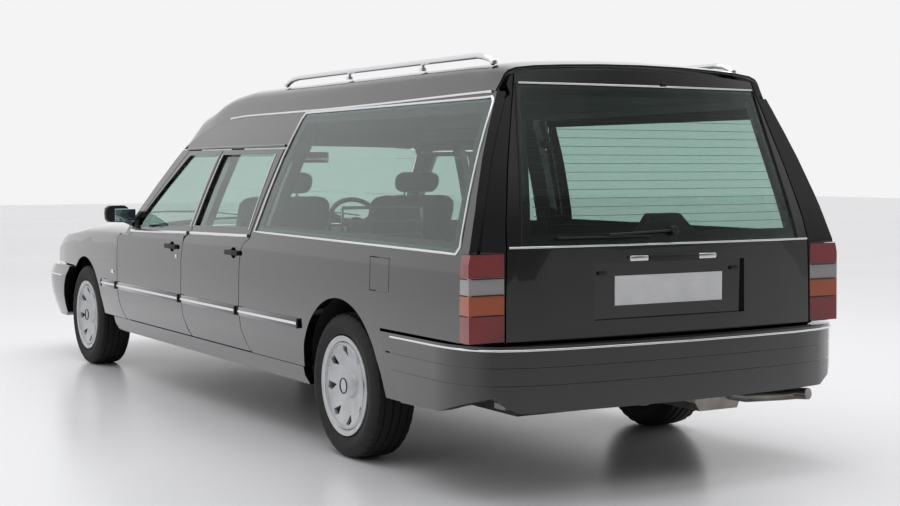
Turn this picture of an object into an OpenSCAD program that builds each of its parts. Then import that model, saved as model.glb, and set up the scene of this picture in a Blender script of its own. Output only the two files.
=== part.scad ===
// Hearse: a long four-door estate with a raised roof, a load deck and large side windows.
// Frame: +X to the car's left, -Y forward, +Z up, origin on the floor under the middle of the car.

/* [Overall] */
// Length over both bumpers
car_l = 5580; // [5300:10:6400]
// Width over the bumpers
car_w = 1812; // [1740:2:1900]
// Distance between the axles
wheelbase = 3502; // [3300:2:4200]
// Distance from the front axle to the foremost point
front_overhang = 897; // [860:1:960]

/* [Wheels] */
// Outer diameter of a tyre
tyre_d = 606; // [580:1:630]
// Width of a tyre
tyre_w = 200; // [165:1:215]
// Diameter of the wheel rim's flange
rim_d = 416; // [380:1:440]
// Distance between the wheel centres of an axle
track = 1540; // [1480:2:1560]
// Radius of the front wheel arches
front_arch_r = 358; // [350:1:380]
// Radius of the rear wheel arches
rear_arch_r = 366; // [350:1:385]
// Radius of the wheel bores on the hubs
hub_r = 32; // [26:1:38]

/* [Doors] */
// Width of the gap between panels
shut_gap = 6; // [5:0.5:9]
// Thickness of a door below its window
door_t = 65; // [50:1:68]
// Thickness of the window frames
frame_t = 32; // [26:1:36]
// Depth of the pillars and of the quarter walls
wall_t = 40; // [30:1:50]
// Radius of a hinge pin
pin_r = 5; // [4:0.5:6]
// Thickness of the glass
glass_t = 5; // [4:0.5:7]

/* [Roof and tailgate] */
// Thickness of the raised roof with its lining
roof_t = 28; // [20:1:40]
// Thickness of the tailgate
gate_t = 50; // [40:1:60]
// Diameter of the roof rails
rail_d = 24; // [18:1:30]

/* [Load deck] */
// Height of the deck's top above the floor
deck_z = 778; // [740:1:800]
// Thickness of the deck board
deck_t = 24; // [15:1:30]
// Radius of the stop pins' holes in the deck
deck_hole_r = 8; // [5:0.5:10]

/* [Hidden] */

// Colours
paint = [0.05, 0.05, 0.055];
dark = [0.09, 0.09, 0.1];
silver = [0.75, 0.76, 0.78];
clear = [0.55, 0.66, 0.62, 0.4];

// Places worked out from the sizes
$fn = 32;
fit = 0.3;
half_w = car_w / 2;
y_front = -car_l / 2;
y_rear = car_l / 2;
y_fa = y_front + front_overhang;
y_ra = y_fa + wheelbase;
wheel_z = tyre_d / 2 - 2;
wheel_x = track / 2;
y_bulk = y_front + 1480;
bulk_t = 14;
floor_z = 240;

// The body side: half width of the skin at each height
skin_w = half_w - 18;
SIDE = [
  [255, skin_w - 50], [300, skin_w - 30], [345, skin_w - 20], [450, skin_w - 4],
  [545, skin_w], [700, skin_w + 1], [800, skin_w - 1], [860, skin_w - 3],
  [905, skin_w - 9], [1000, skin_w - 38], [1100, skin_w - 70], [1240, skin_w - 120],
  [1350, skin_w - 167], [1457, skin_w - 217], [1500, skin_w - 237]
];
function side_x(z) = lookup(z, SIDE);

// Panel edges along the car
y_door_f = y_front + 1569;
y_b = y_front + 2586;
y_c = y_front + 3367;
y_cab = y_front + 2230;
y_quarter_end = y_rear - 330;
y_gate = y_rear - 138;
window_top = 1266;
lip_t = 9;
door_top = 1290;
sill_top = 338;
bumper_top = 570;
hinge_in = 65;
hinge_x = skin_w - 22;
y_hinge_f = y_door_f + hinge_in;
y_hinge_r = y_b + hinge_in;

// Height of the window sill line along the car
function waist(y) = 868 + (y - y_front - 1600) * 0.0178;

// Rows of the roof from front to rear: place at the sides, gutter height, rise, bow forward
ROOF = [
  [y_front + 2270, 1300, 50, 110], [y_front + 2320, 1325, 105, 95], [y_front + 2400, 1362, 136, 75],
  [y_front + 2500, 1398, 128, 60], [y_front + 2590, 1420, 150, 45], [y_front + 2690, 1438, 158, 30],
  [y_front + 2770, 1450, 158, 20], [y_front + 2940, 1458, 163, 8], [y_front + 3190, 1460, 164, 0],
  [y_rear - 1700, 1463, 164, 0], [y_rear - 1190, 1470, 157, 0], [y_rear - 590, 1482, 144, 0],
  [y_rear - 480, 1484, 141, -4], [y_rear - 431, 1485, 137, -12], [y_rear - 429, 1485, 137, -12], [y_rear - 385, 1485, 130, -22],
  [y_rear - 336, 1486, 116, -30]
];
function gutter(y) = lookup(y, [for (r = ROOF) [r[0], r[1]]]);
// Shape of half a roof section, as shares of its width and rise
CROWN = [
  [1, 0], [0.967, 0.31], [0.945, 0.55], [0.92, 0.69], [0.87, 0.79], [0.75, 0.87],
  [0.55, 0.93], [0.3, 0.98], [0, 1]
];

// ---------- helpers ----------

// A copy on each side of the car
module pair() {
  children();
  mirror([1, 0, 0]) children();
}

// An outline of [y, z] points, extruded across the car
module across(points, x0, x1) {
  translate([x0, 0, 0]) rotate([90, 0, 90]) linear_extrude(x1 - x0) polygon(points);
}

// An outline of [x, z] points, extruded along the car
module along(points, y0, y1) {
  translate([0, y1, 0]) rotate([90, 0, 0]) linear_extrude(y1 - y0) polygon(points);
}

// A slab that follows the body side, between two depths below the skin
module side_slab(y0, y1, out, in) {
  outer = [for (p = SIDE) [p[1] - out, p[0]]];
  inner = [for (i = [len(SIDE) - 1:-1:0]) [SIDE[i][1] - in, SIDE[i][0]]];
  along(concat(outer, inner), y0, y1);
}

// What of the body side lies inside an outline of [y, z] points
module side_panel(points, out, in) {
  ys = [for (p = points) p[0]];
  intersection() {
    side_slab(min(ys) - 5, max(ys) + 5, out, in);
    across(points, 300, half_w + 60);
  }
}

// A closed shell between two equal grids of points
module grid_shell(outer, inner) {
  n = len(outer);
  m = len(outer[0]);
  pts = concat([for (r = outer) each r], [for (r = inner) each r]);
  function a(i, j) = i * m + j;
  function b(i, j) = n * m + i * m + j;
  faces = concat(
    [for (i = [0:n - 2]) for (j = [0:m - 2]) each [
      [a(i, j), a(i, j + 1), a(i + 1, j + 1)], [a(i, j), a(i + 1, j + 1), a(i + 1, j)],
      [b(i, j), b(i + 1, j + 1), b(i, j + 1)], [b(i, j), b(i + 1, j), b(i + 1, j + 1)]]],
    [for (i = [0:n - 2]) each [
      [a(i, 0), a(i + 1, 0), b(i + 1, 0)], [a(i, 0), b(i + 1, 0), b(i, 0)],
      [a(i, m - 1), b(i + 1, m - 1), a(i + 1, m - 1)], [a(i, m - 1), b(i, m - 1), b(i + 1, m - 1)]]],
    [for (j = [0:m - 2]) each [
      [a(0, j), b(0, j + 1), a(0, j + 1)], [a(0, j), b(0, j), b(0, j + 1)],
      [a(n - 1, j), a(n - 1, j + 1), b(n - 1, j + 1)], [a(n - 1, j), b(n - 1, j + 1), b(n - 1, j)]]]
  );
  polyhedron(pts, faces, convexity = 6);
}

module bar(p, q, r) {
  d = q - p;
  l = norm(d);
  translate(p) rotate([0, acos(d[2] / l), atan2(d[1], d[0])]) cylinder(r = r, h = l);
}

// A closed tube of twelve flats along a path; ref is a direction it never runs in
function unit(v) = v / norm(v);
module tube(path, r, ref) {
  n = len(path);
  m = 12;
  t = [for (i = [0:n - 1]) unit((i > 0 ? unit(path[i] - path[i - 1]) : [0, 0, 0])
    + (i < n - 1 ? unit(path[i + 1] - path[i]) : [0, 0, 0]))];
  pts = [for (i = [0:n - 1]) let (a = unit(cross(t[i], ref)), b = cross(t[i], a))
    for (j = [0:m - 1]) path[i] + r * (cos(30 * j) * a + sin(30 * j) * b)];
  faces = concat([[for (j = [0:m - 1]) j]],
    [for (i = [0:n - 2]) for (j = [0:m - 1]) each [
      [i * m + j, (i + 1) * m + j, (i + 1) * m + (j + 1) % m],
      [i * m + j, (i + 1) * m + (j + 1) % m, i * m + (j + 1) % m]]],
    [[for (j = [m - 1:-1:0]) (n - 1) * m + j]]);
  polyhedron(pts, faces, convexity = 6);
}

module box(lo, hi) {
  translate(lo) cube(hi - lo);
}

module disc(x0, x1, r, y, z) {
  translate([x0, y, z]) rotate([0, 90, 0]) cylinder(r = r, h = x1 - x0, $fn = 72);
}

// The edge between two doors, from the sill up to the door tops
function shut_line(y, lean) = [
  [y + 108, sill_top + shut_gap], [y + 62, 375], [y + 22, 430], [y + 4, 490], [y, 545],
  [y + lean * 0.08, 740], [y + lean * 0.2, 815], [y + lean * 0.4, 845], [y + lean, 876],
  [y + lean + 100, door_top]
];
function reversed(a) = [for (i = [len(a) - 1:-1:0]) a[i]];
function shifted(a, dy) = [for (p = a) [p[0] + dy, p[1]]];

// Outlines of the doors as [y, z] points
FRONT_EDGE = [
  [y_door_f + 100, sill_top + shut_gap], [y_door_f + 55, 375], [y_door_f + 20, 430],
  [y_door_f + 3, 490], [y_door_f, 545], [y_door_f + 4, 700], [y_door_f + 12, 812],
  [y_door_f + 30, 821], [y_front + 1798, 826]
];
A_FRONT = [[y_front + 1739, 846], [y_front + 2266, 1296]];
A_REAR = [[y_front + 1820, 838], [y_front + 2374, door_top]];
B_LINE = shut_line(y_b, 150);
C_LINE = shut_line(y_c - 15, 130);
// The gap is wider beside the window frames, which lean inwards as they turn
function beside(a, dy, more) = [for (p = a) [p[0] + dy + (p[1] > 870 ? more : 0), p[1]]];
// Below the window sill the front door is cut back further, where the rear door's edge sweeps
FRONT_DOOR = concat(FRONT_EDGE, A_REAR, reversed(concat(
  [for (p = B_LINE) if (p[1] < 850)
    [p[0] - shut_gap / 2 - (p[1] > 830 ? 15 : p[1] < 400 ? 5 : 0), p[1]]],
  [[y_b + 47, 851.5]],
  [for (p = B_LINE) if (p[1] > 850) [p[0] - shut_gap / 2 - 4, p[1]]]
)));
REAR_DOOR = concat(shifted(B_LINE, shut_gap / 2), reversed(beside(C_LINE, -shut_gap / 2, -6)));
FRONT_PANE = [
  [y_front + 1868, 872], [y_front + 2392, window_top - 8], [y_front + 2406, window_top],
  [y_b + 204, window_top], [y_b + 114, waist(y_b) + 24]
];
REAR_PANE = [
  [y_b + 184, waist(y_b) + 26], [y_b + 276, window_top], [y_c + 126, window_top],
  [y_c + 76, waist(y_c) + 26]
];
SIDE_PANE = [
  [y_c + 181, waist(y_c) + 26], [y_c + 287, 1420], [y_c + 300, 1436], [y_rear - 342, 1448],
  [y_rear - 330, 1436], [y_rear - 240, 925], [y_rear - 250, 912]
];
// An outline grown by d in height and by e along the car
function grown(a, d, e = 0) = let (
  cy = (max([for (p = a) p[0]]) + min([for (p = a) p[0]])) / 2,
  cz = (max([for (p = a) p[1]]) + min([for (p = a) p[1]])) / 2,
  hy = (max([for (p = a) p[0]]) - min([for (p = a) p[0]])) / 2,
  hz = (max([for (p = a) p[1]]) - min([for (p = a) p[1]])) / 2)
  [for (p = a) [cy + (p[0] - cy) * (1 + max(d, e) / hy), cz + (p[1] - cz) * (1 + d / hz)]];

// ---------- doors ----------

module hinge_barrels(y, zs) {
  for (z = zs) translate([hinge_x, y, z]) difference() {
    union() {
      translate([0, 0, -22]) cylinder(r = 10, h = 44);
      translate([-9, 0, -22]) cube([18, 62, 44]);
    }
    translate([0, 0, -30]) cylinder(r = pin_r + fit, h = 60);
  }
}

module front_door_left() {
  w = waist(y_b);
  color(paint) difference() {
    union() {
      side_panel(FRONT_DOOR, 0, 5);
      difference() {
        side_panel([
          [y_door_f + 150, sill_top + 32], [y_door_f + 100, 430], [y_door_f + 90, 798],
          [y_front + 1796, 806], [y_front + 1856, 838], [y_b + 95, w - 2], [y_b + 30, 845],
          [y_b + 6, 810], [y_b - 20, 740], [y_b - 32, 560], [y_b - 20, 460], [y_b + 40, sill_top + 32]
        ], 4.9, door_t);
        side_panel(grown(FRONT_PANE, 12), 12, 22);
      }
      difference() {
        side_panel([
          [y_front + 1810, 812], A_REAR[0], A_REAR[1], [y_b + 243, door_top],
          [y_b + 140, 878], [y_b + 36, 846], [y_b + 18, 815]
        ], 4.9, frame_t);
        side_panel(grown(FRONT_PANE, 9.8, 13), 13.7, 14.3 + glass_t);
      }
      hinge_barrels(y_hinge_f, [470, 740]);
    }
    side_panel(FRONT_PANE, -10, 100);
    // grip recess behind the handle
    translate([skin_w + 8, y_b - 120, 792]) scale([0.5, 1, 0.75]) sphere(r = 40);
  }
}

module rear_door_left() {
  w = waist(y_c);
  color(paint) difference() {
    union() {
      side_panel(REAR_DOOR, 0, 5);
      difference() {
        side_panel([
          [y_b + 150, sill_top + 32], [y_b + 100, 430], [y_b + 92, 740], [y_b + 120, 830],
          [y_b + 200, w - 8], [y_c + 70, w - 2], [y_c + 20, 845], [y_c - 10, 810], [y_c - 32, 740],
          [y_c - 46, 560], [y_c - 34, 460], [y_c + 20, sill_top + 32]
        ], 4.9, door_t);
        side_panel(grown(REAR_PANE, 12), 12, 22);
      }
      difference() {
        side_panel([
          [y_b + 100, 815], [y_b + 157, 880], [y_b + 255, door_top], [y_c + 204, door_top],
          [y_c + 102, 880], [y_c + 20, 846], [y_c - 5, 815]
        ], 4.9, frame_t);
        side_panel(grown(REAR_PANE, 9.8, 12), 13.7, 14.3 + glass_t);
      }
      hinge_barrels(y_hinge_r, [470, 740]);
    }
    side_panel(REAR_PANE, -10, 100);
    translate([skin_w + 8, y_c - 75, 800]) scale([0.5, 1, 0.75]) sphere(r = 40);
  }
}

// A mirror housing on an arm from a foot on the window frame
module mirror_housing() {
  y = y_front + 1790;
  x0 = skin_w + 3;
  x1 = half_w + 124;
  color(paint) union() {
    intersection() {
      along([[x0 + 4, 905], [x0, 930], [x0 + 10, 978], [x0 + 30, 991], [x1 - 30, 990], [x1 - 6, 976],
        [x1, 950], [x1 - 4, 918], [x1 - 22, 900], [x0 + 20, 897]], y - 40, y + 26);
      linear_extrude(1200) polygon([[x0 - 5, y + 25], [x1 + 5, y + 25], [x1 + 5, y + 2],
        [x1 - 14, y - 20], [x1 - 50, y - 32], [x0 + 46, y - 34], [x0 + 8, y - 24], [x0 - 5, y - 8]]);
    }
    tube([[x0 + 42, y + 12, 916], [skin_w + 9, y + 104, 889]], 14, [0, 0, 1]);
    side_panel([[y + 80, 864], [y + 150, 866], [y + 136, 912], [y + 122, 912]], -15, -fit);
  }
}

module front_left_door() {
  front_door_left();
}
module front_right_door() {
  mirror([1, 0, 0]) front_door_left();
}
module rear_left_door() {
  rear_door_left();
}
module rear_right_door() {
  mirror([1, 0, 0]) rear_door_left();
}

module pane(outline, depth) {
  color(clear) side_panel(grown(outline, 9), depth, depth + glass_t);
}
module front_left_window() {
  pane(FRONT_PANE, 14);
}
module front_right_window() {
  mirror([1, 0, 0]) pane(FRONT_PANE, 14);
}
module rear_left_window() {
  pane(REAR_PANE, 14);
}
module rear_right_window() {
  mirror([1, 0, 0]) pane(REAR_PANE, 14);
}

// ---------- body shell ----------

arch_in = 640;

module pins(y, zs) {
  for (z = zs) {
    translate([hinge_x, y, z - 42]) cylinder(r = pin_r, h = 84);
    for (dz = [-38, 26]) translate([hinge_x - 90, y - 8, z + dz]) cube([95, 16, 12]);
  }
}

// Sills, pillars and the rails over the doors
module side_frame() {
  y0 = y_fa + 541;
  y1 = y_ra - rear_arch_r - 12;
  difference() {
    union() {
      along([
        [690, 258], [side_x(255) - 4, 258], [side_x(300), 300], [side_x(sill_top), sill_top],
        [side_x(sill_top) - 82, sill_top], [side_x(sill_top) - 82, 392], [690, 392]
      ], y0, y1);
      // front hinge pillar, with the foot of the windscreen pillar
      box([700, y_hinge_f - 150, 380], [hinge_x - 76, y_hinge_f + 30, 790]);
      box([756, y_hinge_f - 14, 780], [790, y_front + 1742, 837]);
      box([780, y_front + 1690, 813], [846, y_front + 1742, 837]);
      side_panel([[y_front + 1722, 832], A_FRONT[0], A_FRONT[1], [y_front + 2372, 1296],
        [y_front + 1804, 832]], 0, 44);
      // pillar between the doors
      box([742, y_b - 62, 380], [hinge_x - 76, y_b + 90, 800]);
      side_panel([
        [y_b - 20, 760], [y_b + 75, 760], [y_b + 150, 866], [y_b + 262, door_top + 16],
        [y_b + 190, door_top + 16], [y_b + 85, 866]
      ], door_t + 3, door_t + 43);
      // pillar behind the rear door
      side_panel([
        [y_c - 60, 380], [y_c + 160, 380], [y_c + 178, 860], [y_c + 281, 1420],
        [y_c + 300, 1440], [y_c + 190, 1440], [y_c + 120, door_top], [y_c + 40, 870], [y_c - 55, 700]
      ], door_t + 5, door_t + 45);
      // rail over the doors
      side_panel([
        [y_front + 2290, 1296], [y_c + 300, 1296], [y_c + 300, 1330], [y_front + 2420, 1330],
        [y_front + 2350, 1310]
      ], wall_t + 0.3, wall_t + 40);
      side_panel([[y_front + 2285, 1276], [y_front + 2340, 1276], [y_front + 2350, 1304],
        [y_front + 2300, 1304]], wall_t + 0.3, wall_t + 34);
      pins(y_hinge_f, [470, 740]);
      pins(y_hinge_r, [470, 740]);
    }
    disc(600, 950, front_arch_r + 14, y_fa, wheel_z);
    disc(600, 950, rear_arch_r + 14, y_ra, wheel_z);
  }
}
module side_frames() {
  color(paint) pair() side_frame();
}

// Floor with the tunnel, the raised rear floor and the rear wheelhouses
module floor_pan() {
  y0 = y_bulk + bulk_t;
  y1 = y_ra - 560;
  y2 = y_rear - 320;
  color(dark) difference() {
    union() {
      across([
        [y0, 262], [y1, 262], [y1 + 260, 470], [y2, 470], [y2, 486], [y1 + 250, 486],
        [y1 - 8, 278], [y0, 278]
      ], -688, 688);
      // raised tunnel over the gearbox
      along([[-150, 277], [-110, 400], [110, 400], [150, 277], [132, 277], [98, 384], [-98, 384],
        [-132, 277]], y0, y1 + 148);
      pair() {
        intersection() {
          union() {
            disc(arch_in - 12, skin_w, rear_arch_r + 12, y_ra, wheel_z);
            box([600, y_ra - 380, 470], [arch_in, y_ra + 380, 486]);
          }
          union() {
            side_slab(y_ra - 450, y_ra + 450, wall_t + 0.1, 400);
            box([400, y_ra - 450, 300], [700, y_ra + 450, 800]);
          }
          box([400, y_ra - 450, 300], [1000, y_ra + 450, 800]);
        }
        // rear side floor behind the wheels
        box([680, y_ra + 372, 470], [side_x(470) - 42, y2, 486]);
      }
    }
    pair() disc(arch_in, 1000, rear_arch_r, y_ra, wheel_z);
    pair() box([arch_in - 20, y_ra - 75, 250], [arch_in + 1, y_ra + 75, 440]);
    along([[-132, 200], [-132, 277], [-98, 384], [98, 384], [132, 277], [132, 200]], y0 - 2, y1 + 120);
    filler_neck(27);
  }
}

module filler_neck(r) {
  tube([[500, y_rear - 700, 440], [skin_w - 75, y_rear - 814, 770]], r, [0, 0, 1]);
}

function tap(y) = lookup(y - y_front, [[0, 150], [60, 104], [180, 72], [400, 46], [700, 26],
  [1100, 10], [1500, 0], [1600, 0]]);
function crease(y) = lookup(y - y_front, [[50, 655], [250, 735], [450, 775], [700, 796],
  [910, 810], [1250, 817], [1590, 820]]);
function edge_z(y) = lookup(y - y_front, [[50, 690], [190, 745], [390, 790], [590, 822],
  [910, 856], [1290, 868], [1660, 868]]);
function edge_x(y) = 745 - tap(y) * 0.95;

// Bulkhead, inner wings, front rails, radiator panel and the cowl under the windscreen
module front_structure() {
  yb = y_bulk;
  color(dark) difference() {
    union() {
      box([-698, yb, 262], [698, yb + bulk_t, 772]);
      across([[yb, 758], [yb + 255, 812], [yb + 255, 824], [yb, 772]], -699, 699);
      box([-640, y_front + 190, 330], [640, y_front + 204, 640]);
      pair() {
        // wing wall from the radiator panel to the bulkhead
        across([[y_front + 203, 360], [yb + 1, 360], [yb + 1, 768], [y_front + 330, 768],
          [y_front + 203, 712]], 488, 502);
        box([420, y_front + 203, 330], [489, yb + 1, 410]);
        // wheelhouse
        box([500, y_fa - 366, 754], [690, y_fa + 366, 768]);
        box([500, y_fa - 366, 400], [780, y_fa - 352, 640]);
        box([500, y_fa - 366, 630], [690, y_fa - 352, 760]);
        box([500, y_fa + 352, 285], [688, y_fa + 366, 760]);
        box([680, y_fa + 352, 345], [842, y_fa + 366, 740]);
        box([686, y_fa + 360, 280], [699, yb - 0.3, 768]);
        box([686, y_fa + 360, 280], [689.7, y_fa + 541, 768]);
        // bonnet hinge pins
        disc(568, 600, pin_r, y_lid, z_lid);
        box([590, y_lid - 9, 790], [602, y_lid + 9, z_lid + 6]);
      }
    }
    translate([0, yb - 1, 330]) rotate([-90, 0, 0]) cylinder(r = 106, h = bulk_t + 2);
    pair() box([689.7, y_fa + 541, 200], [720, yb + 20, 392.3]);
  }
}

function fender_row(y, d) = let (t = tap(y), zc = crease(y), ze = edge_z(y), x1 = edge_x(y) + shut_gap)
  concat(
    [for (z = [262, 300, 345, 400, 450, 500, 545, 600, 640]) [side_x(z) - t - d, y, z]],
    [[skin_w - t - d, y, (640 + zc - 22) / 2], [skin_w - 2 - t - d, y, zc - 22],
      [skin_w - 9 - t - d, y, zc - d * 0.4],
      [skin_w - 26 - t - d * 0.7, y, zc + (ze - zc) * 0.35 - d * 0.7],
      [skin_w - 62 - t * 0.97, y, zc + (ze - zc) * 0.68 - d],
      [(skin_w - 62 - t * 0.97 + x1) / 2, y, zc + (ze - zc) * 0.9 - d], [x1, y, ze - d]]);
FENDER_Y = [for (dy = [60, 110, 180, 260, 350, 450, 560, 680, 800, 920, 1040, 1160, 1280, 1400,
  1500, 1560, 1620, 1680, 1736]) y_front + dy];

module front_fenders() {
  color(paint) pair() difference() {
    grid_shell([for (y = FENDER_Y) fender_row(y, 0)], [for (y = FENDER_Y) fender_row(y, 6)]);
    disc(600, 950, front_arch_r, y_fa, wheel_z);
    // room for the bumper, the lamps and the slanting door edge
    across([[y_front - 20, 200], [y_fa - 200, 200], [y_front + 652, 592], [y_front + 130, 592],
      [y_front + 130, 706], [y_front - 20, 706]], 400, 1000);
    across(concat(shifted([for (i = [0:6]) FRONT_EDGE[i]], -shut_gap - 1.5),
      [[y_door_f + 20, 828], [y_front + 1796, 833], [y_front + 1796, 250]]), 400, 1000);
    across([[y_front + 1716, 800], [A_FRONT[0][0] - 22, 832], [A_FRONT[0][0] + 20, 880],
      [A_FRONT[0][0] + 60, 800]], 800, 1000);
    box([600, y_fa + 200, 250], [1000, y_fa + 900, sill_top + 3]);
    box([600, y_front + 1720, 846], [792, y_front + 1760, 900]);
  }
}

BONNET_T = [0, 0.02, 0.06, 0.12, 0.2, 0.3, 0.4, 0.5, 0.6, 0.7, 0.8, 0.88, 0.94, 0.98, 1];
BONNET_S = [-1, -0.985, -0.95, -0.85, -0.7, -0.5, -0.25, 0, 0.25, 0.5, 0.7, 0.85, 0.95, 0.985, 1];
function bonnet_pt(t, s, d) = let (
  y0 = y_front + 1655 - 85 * (1 - s * s), y1 = y_front + 104 - 42 * (1 - s * s),
  y = y0 + (y1 - y0) * t, ys = y_front + 1655 + (104 - 1655) * t,
  w = edge_x(ys), c = 44 + 20 * sin(180 * t) - 14 * t)
  [s * w, y, edge_z(ys) + c * (1 - pow(abs(s), 2.6)) - d - (t > 0.99 ? 6 : 0)];
y_lid = y_front + 1600;
z_lid = 843;
module bonnet() {
  color(paint) difference() {
    union() {
      grid_shell([for (s = BONNET_S) [for (t = BONNET_T) bonnet_pt(t, s, 0)]],
        [for (s = BONNET_S) [for (t = BONNET_T) bonnet_pt(t, s, 14)]]);
      pair() {
        disc(566, 584, 10, y_lid, z_lid);
        box([566, y_lid - 10, z_lid], [584, y_lid + 6, z_lid + 40]);
      }
    }
    pair() disc(560, 590, pin_r + fit, y_lid, z_lid);
  }
}

// ---------- sides and tail ----------

TAIL = [[300, y_rear - 136], [570, y_rear - 138], [914, y_rear - 144], [1050, y_rear - 176],
  [1200, y_rear - 222], [1400, y_rear - 284], [1510, y_rear - 316], [1600, y_rear - 343]];
function tail_y(z) = lookup(z, TAIL);
GATE_W = [[560, 733], [700, 732], [914, 726], [1000, 716], [1200, 672], [1400, 618], [1500, 590],
  [1560, 574], [1600, 566]];
function gate_w(z) = lookup(z, GATE_W);
BUMPER_CUT = [[y_ra + 330, 200], [y_rear - 614, 300], [y_rear - 813, bumper_top + 8],
  [y_rear + 50, bumper_top + 8], [y_rear + 50, 200]];

module quarter_panels() {
  top = [for (i = [1:len(ROOF) - 1]) [ROOF[i][0], ROOF[i][1] - 0.3]];
  edge = concat(shifted([for (i = [0:8]) C_LINE[i]], shut_gap / 2), [[y_c + 220, 1296]]);
  outline = concat(
    [[y_c + 150, 300], edge[0] + [0, -4]], edge, [[y_front + 2320, 1296]],
    [for (p = top) p], [[tail_y(1486) - 12, 1486], [tail_y(1200) - 12, 1200],
      [tail_y(1050) - 12, 1050], [tail_y(914) - 12, 914], [tail_y(570) - 12, 300]]);
  color(paint) {
    for (side = [0, 1]) mirror([side, 0, 0]) difference() {
      side_panel(outline, 0, wall_t);
      side_panel(SIDE_PANE, -10, 100);
      side_panel(grown(SIDE_PANE, 12.3), -10, glass_t + 2.3);
      disc(600, 1000, rear_arch_r, y_ra, wheel_z);
      across(BUMPER_CUT, 400, 1000);
      box([600, y_c + 20, 250], [1000, y_ra, sill_top + 3]);
      lamp_block(1.5);
      if (side == 0) {
        side_panel(flap_outline(4), -10, 14);
        translate([skin_w - 60, y_rear - 814, 788]) rotate([0, 90, 0]) cylinder(r = 52, h = 100);
      }
    }
    for (z = [716, 844]) translate([flap_x, flap_y, z]) cylinder(r = 2, h = 16);
  }
}

function flap_outline(d) = [
  [y_rear - 892 - d, 724 - d], [y_rear - 892 - d, 852 + d], [y_rear - 738 + d, 852 + d],
  [y_rear - 738 + d, 724 - d]];
flap_x = skin_w - 6;
flap_y = y_rear - 887;
module fuel_flap() {
  color(paint) difference() {
    union() {
      side_panel(flap_outline(0), 0, 6);
      translate([flap_x, flap_y, 724]) cylinder(r = 4, h = 128);
      side_panel([[y_rear - 768, 770], [y_rear - 768, 806], [y_rear - 752, 806],
        [y_rear - 752, 770]], 5.9, 10);
    }
    translate([flap_x, flap_y, 700]) cylinder(r = 2.3, h = 34);
    translate([flap_x, flap_y, 842]) cylinder(r = 2.3, h = 34);
  }
}
module lamp_block(g) {
  box([741 - g, y_rear - 205, 580 - g], [half_w + 40, y_rear + 20, 896 + g]);
}
module tail_lamps() {
  color([0.7, 0.1, 0.1]) pair() intersection() {
    lamp_block(0);
    union() {
      intersection() {
        side_slab(y_rear - 205, y_rear - 150, 0, 36);
        across([[y_rear - 300, 570], [y_rear - 300, 900], [y_rear - 150, 900],
          [y_rear - 150, 570]], 700, 1000);
      }
      intersection() {
        along([[741, 560], [skin_w + 2, 560], [skin_w + 2, 860], [skin_w - 8, 900], [741, 900]],
          y_rear - 200, y_rear - 100);
        across([[y_rear - 184, 500], [y_rear - 184, 900], [y_rear - 142, 900],
          [y_rear - 136, 500]], 700, 1000);
      }
    }
  }
}

// Pillars either side of the tailgate, and the tail sill under it
module rear_posts() {
  g = shut_gap;
  inner = [for (p = GATE_W) if (p[0] > 600 && p[0] < 1530) [p[1] + g, p[0]]];
  outer = [for (i = [len(SIDE) - 1:-1:0]) if (SIDE[i][0] > 600 && SIDE[i][0] < 1470)
    [SIDE[i][1] - wall_t - 0.2, SIDE[i][0]]];
  yt = tail_y(545);
  color(paint) difference() {
    union() {
      pair() {
        intersection() {
          along(concat([[733 + g, bumper_top + 8]], inner, [[586, 1540], [583, 1548], [592, 1548],
            [603, 1538], [618, 1512], [side_x(1486) - wall_t - 8, 1476]], outer,
            [[side_x(578) - wall_t - 0.2, bumper_top + 8]]), y_rear - 600, y_rear - 100);
          across([[yt - 90, 545], [tail_y(914) - 70, 914], [tail_y(1200) - 70, 1200],
            [tail_y(1540) - 60, 1540], [tail_y(1560), 1560], [tail_y(1200), 1200],
            [tail_y(1050), 1050], [tail_y(914), 914], [yt, 545]], 400, 1000);
        }
        gate_pins(pin_r, gate_w(z_pivot) - 24, gate_w(z_pivot) + g + 10);
        box([690, yt - 90, 480], [795, yt - 70, 640]);
      }
      box([-735, yt - 76, 332], [735, yt - 4, 545]);
      box([-690, y_rear - 320, 470], [690, yt - 75, 486]);
    }
    lamp_block(1.5);
    mirror([1, 0, 0]) lamp_block(1.5);
    box([-640, yt - 56, 320], [640, yt - 24, 530]);
  }
}

function roof_row(r, d) = let (
  n = len(CROWN), w = side_x(r[1]),
  half = [for (c = CROWN) [c[0] * w - d * 0.9 * (c[0] > 0.9 ? 1 : c[0]), r[1] + r[2] * c[1]
    - d * (c[0] > 0.97 ? 0 : c[0] > 0.93 ? 0.5 : 1)]])
  concat([for (i = [0:n - 1]) [half[i][0], r[0] - r[3] * (1 - pow(half[i][0] / w, 2)), half[i][1]]],
    [for (i = [n - 2:-1:0]) [-half[i][0], r[0] - r[3] * (1 - pow(half[i][0] / w, 2)), half[i][1]]]);
// The rear lip of the roof is thin, over a channel for the tailgate's top edge
function roof_depth(y) = lookup(y - y_rear, [[-431, roof_t], [-429, lip_t]]);
module roof() {
  color(paint) grid_shell([for (r = ROOF) roof_row(r, 0)],
    [for (r = ROOF) roof_row(r, roof_depth(r[0]))]);
}

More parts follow.
